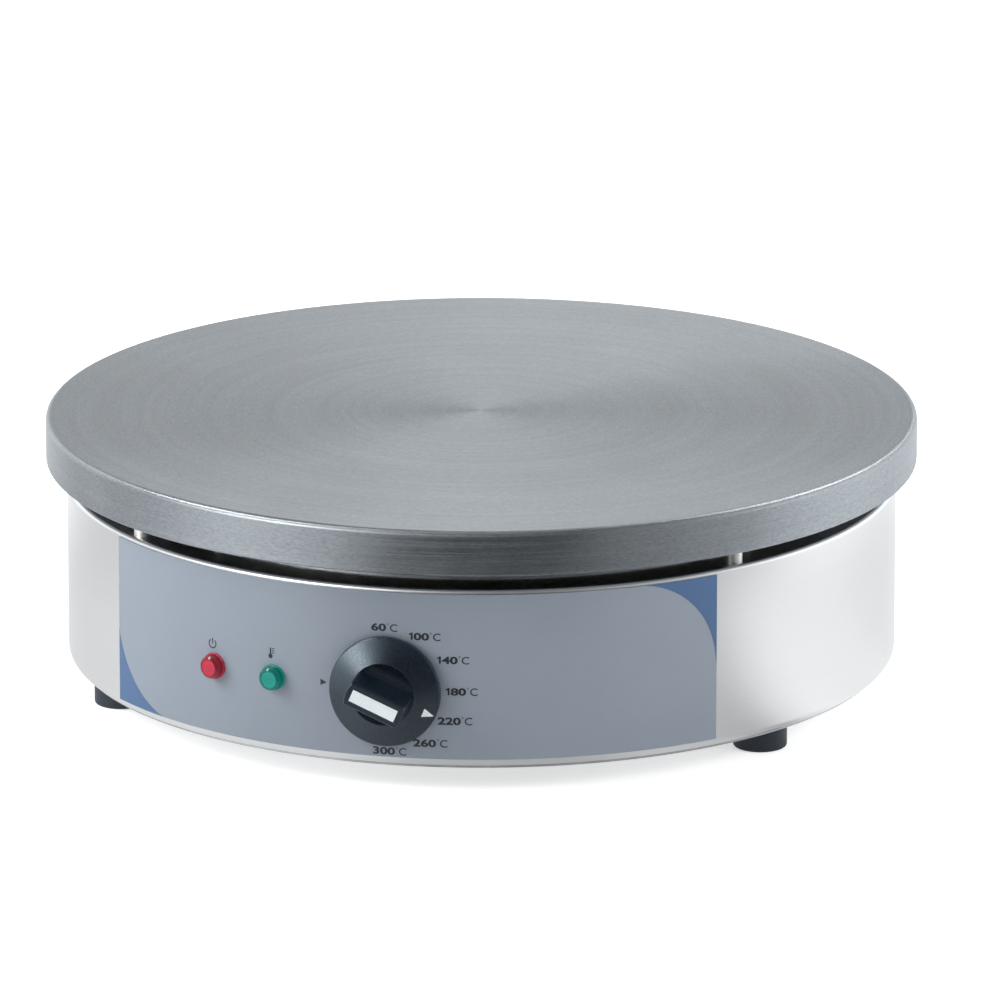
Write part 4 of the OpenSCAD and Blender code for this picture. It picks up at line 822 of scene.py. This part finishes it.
def floor_material():
    """White with the part's shadow to the camera, and the studio's tones to glossy rays."""
    material = bpy.data.materials.new("floor")
    nodes = Nodes(material)
    nodes.tree.nodes.clear()
    place = nodes.add("ShaderNodeTexCoord").outputs["Object"]
    x, y = nodes.parts(place)[:2]
    length = nodes.add("ShaderNodeVectorMath", operation="LENGTH")
    nodes.join(place, length.inputs[0])

    paper = nodes.surface("ShaderNodeBsdfDiffuse", Color=grey(FLOOR_PAPER))
    lift = nodes.surface("ShaderNodeEmission", Color=grey(1), Strength=FLOOR_LIFT)
    seen = nodes.combine("ShaderNodeAddShader", paper, lift)

    right = nodes.map_range(x, FLOOR_RIGHT_START, (0, FLOOR_RIGHT), "SMOOTHSTEP")
    reach = nodes.math("SUBTRACT", length.outputs["Value"], right)
    far = nodes.map_range(reach, (FLOOR_NEAR, FLOOR_FAR), (0, 1), "SMOOTHSTEP")
    tones = [tone_ramp(nodes, x, y, stops) for stops in (TABLE, STUDIO)]
    mirrored = nodes.surface("ShaderNodeEmission", Color=nodes.blend(far, *tones))

    glossy = nodes.add("ShaderNodeLightPath").outputs["Is Glossy Ray"]
    bare = nodes.combine("ShaderNodeMixShader", nodes.seen_through(), paper, seen)
    both = nodes.combine("ShaderNodeMixShader", glossy, bare, mirrored)
    nodes.join(both, nodes.add("ShaderNodeOutputMaterial").inputs[0])
    return material


def make_floor():
    """A pale table top under the feet."""
    mesh = bpy.data.meshes.new("floor")
    half = FLOOR_HALF
    mesh.from_pydata([(-half, -half, 0), (half, -half, 0), (half, half, 0), (-half, half, 0)],
                     [], [(0, 1, 2, 3)])
    floor = bpy.data.objects.new("floor", mesh)
    bpy.context.scene.collection.objects.link(floor)
    mesh.materials.append(floor_material())


# Each lamp: bearing and elevation in degrees, distance, width, height, power in watts, and the
# kind of surface that it lights
LAMPS = {
    "key_left": (-70, 34, 2.4, 1.9, 1.9, 66, "matt"),
    "edge_left": (-78, 50, 2.4, 1.1, 0.4, 18, "glossy"),
    "strip_left": (-42, 18, 2.4, 0.6, 0.8, 16, "glossy"),
    "fill_right": (76, 28, 2.6, 1.5, 1.5, 37, "matt"),
    "edge_right": (150, 44, 2.4, 1.2, 0.5, 13, "glossy"),
    "top_back": (170, 62, 2.4, 1.6, 1.6, 22, "matt"),
}
AIM = Vector((0, 0, 0.08))   # where on the part they point


def softbox(name, bearing, elevation, distance, width, height, power, lights):
    """A rectangular lamp that faces the part."""
    lamp = bpy.data.lights.new(name, "AREA")
    lamp.shape = "RECTANGLE"
    lamp.size = width
    lamp.size_y = height
    lamp.energy = power
    obj = bpy.data.objects.new(name, lamp)
    bpy.context.scene.collection.objects.link(obj)
    a, e = radians(bearing), radians(elevation)
    away = Vector((sin(a) * cos(e), -cos(a) * cos(e), sin(e)))
    obj.location = AIM + away * distance
    obj.rotation_mode = "QUATERNION"
    obj.rotation_quaternion = (-away).to_track_quat("-Z", "Y")
    obj.visible_glossy = lights == "glossy"
    obj.visible_diffuse = lights == "matt"


def light_studio():
    make_world()
    make_floor()
    for name, values in LAMPS.items():
        softbox(name, *values)


# ---- Camera: 5 m away, 12.86 degrees to the right of the front ----

CAMERA_BEARING = radians(12.86)
CAMERA_DISTANCE = 5.0
CAMERA_HEIGHT = 1.52856
CAMERA_PITCH = 0.2818        # how far it looks down
CAMERA_YAW = 0.0017          # how far it looks past the part's axis
CAMERA_LENS = 407.24
CAMERA_SENSOR = 36.0
CAMERA_NEAR, CAMERA_FAR = 0.1, 30


def make_camera():
    data = bpy.data.cameras.new("camera")
    data.lens = CAMERA_LENS
    data.sensor_width = CAMERA_SENSOR
    data.clip_start, data.clip_end = CAMERA_NEAR, CAMERA_FAR
    camera = bpy.data.objects.new("camera", data)
    bpy.context.scene.collection.objects.link(camera)
    turn = Matrix.Rotation(CAMERA_BEARING, 3, "Z")
    ahead = turn @ Vector((sin(CAMERA_YAW) * cos(CAMERA_PITCH), cos(CAMERA_YAW) * cos(CAMERA_PITCH),
                           -sin(CAMERA_PITCH)))
    right = turn @ Vector((cos(CAMERA_YAW), -sin(CAMERA_YAW), 0))
    up = right.cross(ahead)
    pose = Matrix((right, up, -ahead)).transposed().to_4x4()
    pose.translation = Vector((CAMERA_DISTANCE * sin(CAMERA_BEARING),
                               -CAMERA_DISTANCE * cos(CAMERA_BEARING), CAMERA_HEIGHT))
    camera.matrix_world = pose
    bpy.context.scene.camera = camera


make_camera()
finishes = make_finishes()
dress(finishes)
even_rolls("griddle_plate", finishes["cast_iron_plate"], PLATE_ROLLS)
even_rolls("body_shell", finishes["brushed_stainless"], SHELL_ROLLS)
print_panel()
light_studio()
bpy.context.scene.view_settings.view_transform = "Standard"
